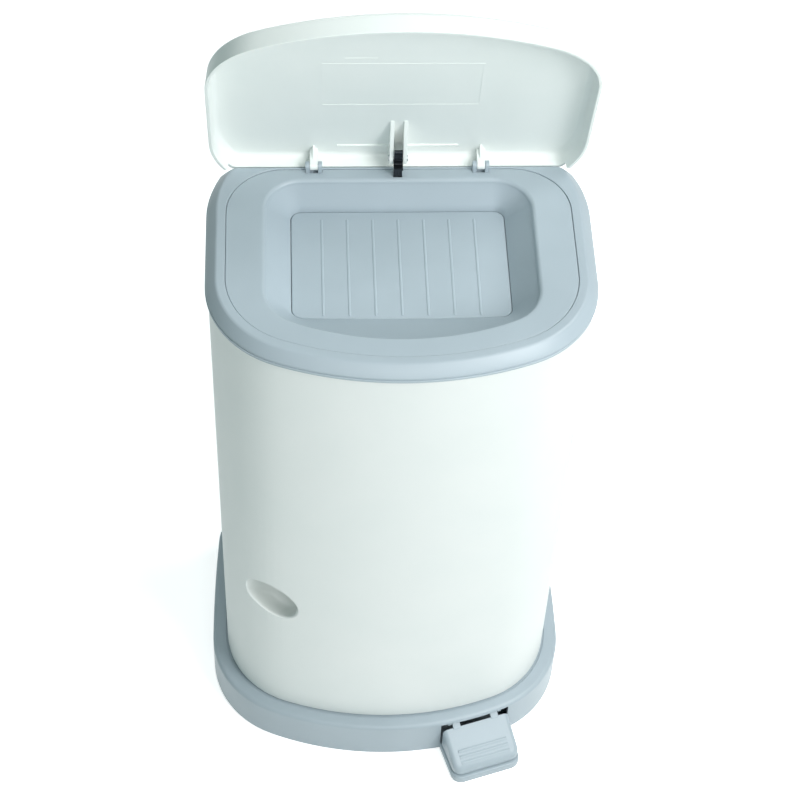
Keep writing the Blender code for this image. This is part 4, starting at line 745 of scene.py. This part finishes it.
def make_collar():
    """The grey top ring with a bead at its foot and two pairs of hinge ears."""
    bead_height, bead_proud, groove_depth = 0.0022, 0.0006, 0.0005
    shelf_depth, shelf_width, shelf_thick, neck, neck_low = 0.0033, 0.004, 0.0025, 0.0087, 0.005
    wall = inset(COLLAR_PLAN, bead_proud)
    groove = inset(COLLAR_PLAN, bead_proud + groove_depth)
    step = inset(CREASE_PLAN, shelf_width)
    lining = inset(TOP_PLAN, WALL)
    bead = COLLAR_LOW + bead_height
    shelf = DECK_HEIGHT - shelf_depth
    ledge = shelf - shelf_thick
    rings = rolled(COLLAR_PLAN, COLLAR_LOW, EDGE, -1)[::-1]
    rings += rolled(COLLAR_PLAN, bead, bead_proud)
    for plan, rise in ((groove, 0.0001), (groove, 0.0005), (wall, 0.0009)):
        rings.append(level(plan, bead + rise))
    for inward, drop in COLLAR_SLOPE:
        rings.append(level(inset(wall, inward, inward * COLLAR_BACK_SHARE), DECK_HEIGHT - drop))
    rings += rolled(CREASE_PLAN, DECK_HEIGHT, CREASE_EDGE, side=-1)[::-1]
    rings += [
        level(CREASE_PLAN, shelf), level(step, shelf), level(step, ledge),
        level(inset(TOP_PLAN, neck, WALL), ledge), level(lining, COLLAR_LOW + neck_low),
        level(lining, COLLAR_LOW),
    ]
    collar = skin("collar_moulding", rings, closed=True)

    ear_near, ear_far, ear_root = 0.0033, 0.0065, (0, 0, -0.0085)
    for x in (-EAR_X, EAR_X):
        for side in (-1, 1):
            ends = sorted((x + side * ear_far, x + side * ear_near))
            near, far = ((end, *LID_HINGE) for end in ends)
            join(collar, lug("ear", near, far, EAR_RADIUS, ear_root, FINE_EDGE))
    finish(collar, "top_collar")


def make_deck():
    """The deck, its funnel and the throat below it."""
    thick, rim_roll = 0.003, 0.0038
    throat_wall, throat_depth, throat_step = 0.0022, 0.014, 0.0011
    edge = inset(CREASE_PLAN, GAP)
    under = DECK_HEIGHT - thick
    top = DECK_HEIGHT - DECK_DROP
    throat = inset(FLOOR_PLAN, -throat_wall)
    throat_low = TRAY_LEVEL - throat_depth
    rings = rolled(edge, top, CREASE_EDGE)
    rings += rolled(RIM_PLAN, top, rim_roll, side=-1)[::-1]
    lip = rings[-1]
    rings += [between(lip, level(FLOOR_PLAN, TRAY_LEVEL), share) for share in (0.25, 0.5, 0.75)]
    rings += [
        level(FLOOR_PLAN, TRAY_LEVEL), level(FLOOR_PLAN, throat_low), level(throat, throat_low),
        level(throat, TRAY_LEVEL - throat_step), level(inset(RIM_PLAN, -WALL), under),
        level(edge, under),
    ]
    deck = skin("deck_moulding", rings, closed=True)

    ear_hole_half, ear_hole_front, ear_hole_back = 0.0068, 0.0037, 0.1234
    for x in (-EAR_X, EAR_X):
        low = (x - ear_hole_half, LID_HINGE[0] - ear_hole_front, under - OVERRUN)
        cut(deck, block("hole", low, (x + ear_hole_half, ear_hole_back, DECK_HEIGHT + OVERRUN)))
    rod_hole_front, rod_hole_back = 0.1056, 0.1084
    low = (-ROD_HOLE_HALF, rod_hole_front, under - OVERRUN)
    cut(deck, block("hole", low, (ROD_HOLE_HALF, rod_hole_back, DECK_HEIGHT + OVERRUN)))

    post_x, post_low, post_into, post_radius = 0.112, 0.4905, 0.0015, 0.0035
    for side in (-1, 1):
        x = side * post_x
        for y in (-0.018, 0.080):
            join(deck, bar("post", (x, y, post_low), (x, y, under + post_into), post_radius))
    finish(deck, "deck_funnel")


FLAP_PIN = (0.0875, TRAY_LEVEL - 0.006)


def make_flap():
    """The trap flap: a thin plate with seven low ridges and two knuckles below."""
    thick, top_roll = 0.0022, 0.0008
    outline = inset(FLOOR_PLAN, EDGE)
    rings = rolled(outline, TRAY_LEVEL - thick, FINE_EDGE, -1)[::-1]
    rings += rolled(outline, TRAY_LEVEL, top_roll)
    flap = skin("flap_plate", rings)

    # A ridge is a round bar pressed flat, with its middle just below the plate's top.
    pitch, front, back, radius, end_width, steps = 0.0198, -0.0145, 0.0835, 0.00105, 0.0006, 24
    flatten = (
        Matrix.Translation((0, 0, TRAY_LEVEL - 0.00015))
        @ Matrix.Diagonal((1, 1, 0.6, 1))
        @ Matrix.Translation((0, 0, -TRAY_LEVEL))
    )
    for index in range(-3, 4):
        x = index * pitch
        start, end = (x, front, TRAY_LEVEL), (x, back, TRAY_LEVEL)
        join(flap, place(bar("ridge", start, end, radius, end_width, steps), flatten))

    knuckle_x, knuckle_half, knuckle_radius, knuckle_root = 0.070, 0.004, 0.003, (0, 0, 0.0049)
    for side in (-1, 1):
        x = side * knuckle_x
        near, far = ((x + end, *FLAP_PIN) for end in (-knuckle_half, knuckle_half))
        join(flap, lug("knuckle", near, far, knuckle_radius, knuckle_root, FINE_EDGE))
    finish(flap, "trap_flap")


# Lid, built shut and then turned open about its hinge
LID_OPENING = math.radians(-74.5)
LID_LOW = DECK_HEIGHT + CLEARANCE
LID_TOP = LID_LOW + 0.0191
LID_CEILING = LID_TOP - WALL
LID_INTO = LID_CEILING + WALL / 2
LID_MATRIX = (
    Matrix.Translation((0, *LID_HINGE))
    @ Matrix.Rotation(LID_OPENING, 4, "X")
    @ Matrix.Translation((0, -LID_HINGE[0], -LID_HINGE[1]))
)


def lid_dish():
    """The lid's shell, its skirt cut short at the back to clear the hinge."""
    draft, inner_roll, outer_roll = 0.0015, 0.005, 0.006
    rings = rolled(inset(LID_PLAN, draft + WALL), LID_CEILING, inner_roll)[::-1]
    rings += rolled(inset(LID_PLAN, WALL), LID_LOW, EDGE, -1, -1)
    rings += rolled(LID_PLAN, LID_LOW, EDGE, -1)[::-1]
    rings += rolled(inset(LID_PLAN, draft), LID_TOP, outer_roll)
    dish = skin("lid_moulding", rings)
    outside, behind, skirt_top = 0.15, 0.14, DECK_HEIGHT + 0.0065
    low = (-outside, LID_HINGE[0], LID_LOW - OVERRUN)
    cut(dish, block("skirt", low, (outside, behind, skirt_top)))
    return dish


def join_hinge_tabs(lid):
    """A tab between each pair of the collar's ears, with a gusset in front of it."""
    tab_half, gusset_half = 0.003, 0.0008
    y, z = LID_HINGE
    gusset = [(y - 0.0095, LID_INTO), (y - 0.0025, z + 0.002), (y, LID_INTO)]
    for x in (-EAR_X, EAR_X):
        near, far = ((x + side * tab_half, y, z) for side in (-1, 1))
        join(lid, lug("tab", near, far, EAR_RADIUS, (0, 0, LID_INTO - z), FINE_EDGE))
        points = [(x - gusset_half, *point) for point in gusset]
        join(lid, slab("gusset", points, (2 * gusset_half, 0, 0), TINY_EDGE))


def join_bracket(lid):
    """Two cheeks that hold the cross pin, and a low rib out from each."""
    hinge_y = LID_HINGE[0]
    front, cross_y, foot_half = 0.0680, hinge_y - 0.0114, 0.0032
    foot = DECK_HEIGHT + 0.0008
    cheek = [
        (front, LID_INTO), (front, LID_CEILING - GAP), (cross_y - foot_half, foot),
        (cross_y + foot_half, foot), (hinge_y, LID_CEILING - 0.0055), (hinge_y, LID_INTO),
    ]
    cheek_near, cheek_wall = 0.00375, 0.003
    rib_near, rib_far, rib_front, rib_back, rib_proud = 0.00525, 0.047, 0.0100, 0.0086, 0.0012
    for side in (-1, 1):
        points = [(side * cheek_near, y, z) for y, z in cheek]
        join(lid, slab("cheek", points, (side * cheek_wall, 0, 0), FINE_EDGE))
        left, right = sorted((side * rib_near, side * rib_far))
        low = (left, hinge_y - rib_front, LID_CEILING - rib_proud)
        join(lid, block("rib", low, (right, hinge_y - rib_back, LID_INTO), FINE_EDGE))


def join_inside_lines(lid):
    """The fine raised outline and the short mark on the lid's inside."""
    raised = LID_CEILING - 0.0002
    line_width, panel_middle = 0.0012, 0.02
    panel = [(-0.0585, -0.0140), (0.0585, -0.0140), (0.0585, 0.0430), (-0.0585, 0.0430)]
    rings = []
    for out, z in ((0, LID_INTO), (0, raised), (line_width, raised), (line_width, LID_INTO)):
        rings.append([
            (x + math.copysign(out, x), y + math.copysign(out, y - panel_middle), z)
            for x, y in panel
        ])
    join(lid, skin("panel_line", rings, closed=True))
    join(lid, block("mark", (-0.043, -0.0228, raised), (-0.019, -0.0216, LID_INTO)))


def make_lid():
    """The lid: a shallow dish with hinge tabs and a forked bracket for the push rod."""
    lid = lid_dish()
    join_hinge_tabs(lid)
    join_bracket(lid)
    join_inside_lines(lid)
    place(lid, LID_MATRIX)
    finish(lid, "lid_shell")


# Small parts
def make_pins():
    """Straight pins, each between the ends that its solid gives."""
    radius, head_radius, head_height, door_radius = 0.0015, 0.0024, 0.0009, 0.002
    for name, node in (
        ("flap_hinge_pin", "flap_pin"), ("lid_hinge_pin_left", "lid_pin_left"),
        ("lid_hinge_pin_right", "lid_pin_right"), ("link_pin", "lid_cross_pin"),
    ):
        low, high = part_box(node)
        middle = (low + high) / 2
        pin = bar(name, (low.x, *middle.yz), (high.x, *middle.yz), radius, FINE_EDGE)
        if node == "lid_cross_pin":
            for end, way in ((low.x, -1), (high.x, 1)):
                head = ((end - way * GAP, *middle.yz), (end + way * head_height, *middle.yz))
                join(pin, bar("head", *head, head_radius, EDGE))
        finish(pin, node)
    for name, node in (("door_pivot_low", "door_pin_low"), ("door_pivot_high", "door_pin_high")):
        low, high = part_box(node)
        finish(bar(name, (*DOOR_HINGE, low.z), (*DOOR_HINGE, high.z), door_radius, EDGE), node)
    start, end = (
        pedal_point(x, -PEDAL_PIN_DEPTH, PEDAL_PIN_Z) for x in (-PEDAL_PIN_HALF, PEDAL_PIN_HALF)
    )
    finish(bar("tread_pin", start, end, PEDAL_PIN_RADIUS, TINY_EDGE), "pedal_pin")


def make_screws():
    """Pan-head screws with a cross recess, each where its solid is."""
    shank_radius, shank_into = 0.0014, 0.001
    pan_radius, pan_height, pan_edge = 0.0032, 0.0018, 0.0007
    slot_half = (0.0017, 0.00035, 0.0009)
    for node in sorted(frame["nodes"]):
        if "_screw_" not in node:
            continue
        low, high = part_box(node)
        x, y = (low.x + high.x) / 2, (low.y + high.y) / 2
        head_up = node.startswith("frame")
        head, tip = (high.z, low.z) if head_up else (low.z, high.z)
        way = 1 if tip > head else -1
        shank_end, pan_end = (x, y, head + way * shank_into), (x, y, head + way * pan_height)
        screw = bar("cross_head_" + node, (x, y, tip), shank_end, shank_radius, EDGE)
        join(screw, bar("pan", (x, y, head), pan_end, pan_radius, pan_edge))
        for angle in (0, QUARTER_TURN):
            slot = block("slot", [-half for half in slot_half], slot_half)
            move = Matrix.Translation((x, y, head)) @ Matrix.Rotation(angle, 4, "Z")
            cut(screw, place(slot, move))
        finish(screw, node)


def make_spring():
    """The flap's torsion spring, wound about its pin."""
    pin_y, pin_z = FLAP_PIN
    turns, steps, pitch, radius, wire = 5, 24, 0.0012, 0.0024, 0.00045
    leg_reach, flap_under, stub_reach, stub_drop = 0.012, DECK_HEIGHT - 0.0272, 0.0038, 0.0008
    start_x = -turns * pitch / 2
    path = [(start_x, pin_y - leg_reach, flap_under - wire - GAP)]
    for step in range(turns * steps + steps // 4 + 1):
        angle = QUARTER_TURN - 2 * math.pi * step / steps
        x = start_x + pitch * step / steps
        path.append((x, pin_y + radius * math.cos(angle), pin_z + radius * math.sin(angle)))
    path.append((path[-1][0], pin_y + stub_reach, pin_z - stub_drop))
    line = bpy.data.curves.new("spring", "CURVE")
    line.dimensions = "3D"
    line.bevel_depth = wire
    line.bevel_resolution = 3
    line.use_fill_caps = True
    spline = line.splines.new("POLY")
    spline.points.add(len(path) - 1)
    for point, where in zip(spline.points, path):
        point.co = (*where, 1)
    wound = add_object("spring_line", line)
    mesh = applied(wound)
    bpy.data.objects.remove(wound)
    finish(add_object("torsion_spring", mesh), "flap_spring")


def make_strip():
    """The lifting strip, with a ribbed head that stands between the lid's cheeks."""
    strip = carried("lift_strip", "push_rod")
    low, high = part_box("push_rod")
    middle = (low.y + high.y) / 2
    half, head_depth, head_rise, head_into = 0.0033, 0.0012, 0.0135, 0.004
    top = high.z + head_rise
    head_low = (-half, middle - head_depth, high.z - head_into)
    head = block("head", head_low, (half, middle + head_depth, top), EDGE)
    grooves, groove_start, groove_pitch, groove_height = 5, 0.0022, 0.0024, 0.0011
    groove_half, groove_front, groove_back = 0.006, 0.003, 0.0007
    for index in range(grooves):
        z = top - groove_start - index * groove_pitch
        groove_low = (-groove_half, middle - groove_front, z - groove_height)
        cut(head, block("groove", groove_low, (groove_half, middle - groove_back, z)))
    join(strip, head)
    finish(strip, "push_rod")


def make_small_parts():
    """The parts that keep their solid's own shape, some with softened edges."""
    for name, node, width in (
        ("floor_plate", "bottom_plate", 0.0),
        ("foot_pad_1", "pad_1", FINE_EDGE), ("foot_pad_2", "pad_2", FINE_EDGE),
        ("foot_pad_3", "pad_3", FINE_EDGE), ("foot_pad_4", "pad_4", FINE_EDGE),
        ("rocker_lever", "pedal_lever", EDGE), ("rocker_pin", "lever_pin", FINE_EDGE),
        ("strip_guide_low", "rod_guide_low", EDGE), ("strip_guide_high", "rod_guide_high", EDGE),
        ("strip_cover", "rod_cover", EDGE), ("snap_catch", "door_catch", EDGE),
        ("sleeve_magazine", "liner_magazine", 0.0),
        ("film_cutter_body", "cutter_housing", BODY_EDGE), ("film_blade", "cutter_blade", 0.0),
    ):
        finish(carried(name, node), node, width=width)


make_plinth()
make_tread()
make_rear_frame()
make_front()
make_collar()
make_deck()
make_flap()
make_lid()
make_pins()
make_screws()
make_spring()
make_strip()
make_small_parts()


# Stage
FLOOR_HALF = 6.0
FLOOR_GLOW = 0.66
SKY_STRENGTH = 0.23
AIM = Vector((0, 0, 0.35))
# Name, place, width in metres and power in watts
LAMPS = (
    ("key", (1.2, -1.2, 1.7), 1.0, 22.5),
    ("front_high", (0.0, -1.9, 1.7), 1.2, 11.0),
    ("right_above", (1.0, 0.2, 2.0), 0.8, 11.0),
    ("near_above", (0.6, -0.6, 1.6), 0.7, 5.0),
    ("behind", (-0.5, 2.2, 1.2), 1.2, 9.0),
)
CAMERA_PLACE = (-0.08175, -1.08935, 1.78085)
CAMERA_DEGREES = (4.4233, 51.8008, 2.9265)
CAMERA_LENS = 99.512


def direct_view(tree, strength):
    """The strength for rays that come from the camera, a glossy surface or clear plastic."""
    path = add_node(tree, "ShaderNodeLightPath", {})
    seen = path.outputs["Is Camera Ray"]
    for name in ("Is Glossy Ray", "Is Transmission Ray"):
        seen = add_node(
            tree, "ShaderNodeMath", {0: seen, 1: path.outputs[name]}, operation="MAXIMUM"
        ).outputs[0]
    return add_node(tree, "ShaderNodeMath", {0: seen, 1: strength}, operation="MULTIPLY").outputs[0]


def make_stage():
    """A pale paper floor that runs out of view, close to white where it is seen directly."""
    shape = bmesh.new()
    bmesh.ops.create_grid(shape, x_segments=1, y_segments=1, size=FLOOR_HALF)
    floor = keep_mesh(shape, "studio_floor")
    material, tree, _ = new_material("studio_paper")
    lit = add_node(tree, "ShaderNodeBsdfDiffuse", {"Color": srgb("F4F4F4")})
    strength = direct_view(tree, FLOOR_GLOW)
    glow = add_node(tree, "ShaderNodeEmission", {"Color": srgb("FFFFFF"), "Strength": strength})
    both = add_node(
        tree, "ShaderNodeAddShader", {0: lit.outputs["BSDF"], 1: glow.outputs["Emission"]}
    )
    add_node(tree, "ShaderNodeOutputMaterial", {"Surface": both.outputs["Shader"]})
    floor.data.materials.append(material)


def make_world():
    """White to the camera and in reflections, a softer cool sky for the light."""
    world = bpy.data.worlds.new("studio")
    bpy.context.scene.world = world
    world.use_nodes = True
    tree = world.node_tree
    tree.nodes.clear()
    sky, white = (
        add_node(tree, "ShaderNodeBackground", {"Color": srgb(code), "Strength": strength})
        for code, strength in (("C2F2F0", SKY_STRENGTH), ("FFFFFF", 1.0))
    )
    mix = add_node(
        tree, "ShaderNodeMixShader",
        {0: direct_view(tree, 1.0), 1: sky.outputs["Background"], 2: white.outputs["Background"]},
    )
    add_node(tree, "ShaderNodeOutputWorld", {"Surface": mix.outputs["Shader"]})


def make_lamp(name, where, size, power):
    """A round soft lamp aimed at the middle of the bin."""
    light = bpy.data.lights.new(name, "AREA")
    light.shape = "DISK"
    light.size = size
    light.energy = power
    lamp = add_object(name, light)
    lamp.location = where
    lamp.rotation_euler = (AIM - Vector(where)).to_track_quat("-Z", "Y").to_euler()


def make_camera():
    """A long lens, high in front and slightly to the left."""
    azimuth, elevation, roll = (math.radians(angle) for angle in CAMERA_DEGREES)
    data = bpy.data.cameras.new("camera")
    data.lens = CAMERA_LENS
    data.sensor_width = 36.0
    data.clip_start = 0.1
    camera = add_object("camera", data)
    camera.matrix_world = (
        Matrix.Translation(CAMERA_PLACE)
        @ Matrix.Rotation(-azimuth, 4, "Z")
        @ Matrix.Rotation(QUARTER_TURN - elevation, 4, "X")
        @ Matrix.Rotation(roll, 4, "Z")
    )
    bpy.context.scene.camera = camera


make_stage()
make_world()
for lamp_row in LAMPS:
    make_lamp(*lamp_row)
make_camera()
bpy.context.scene.view_settings.view_transform = "Standard"
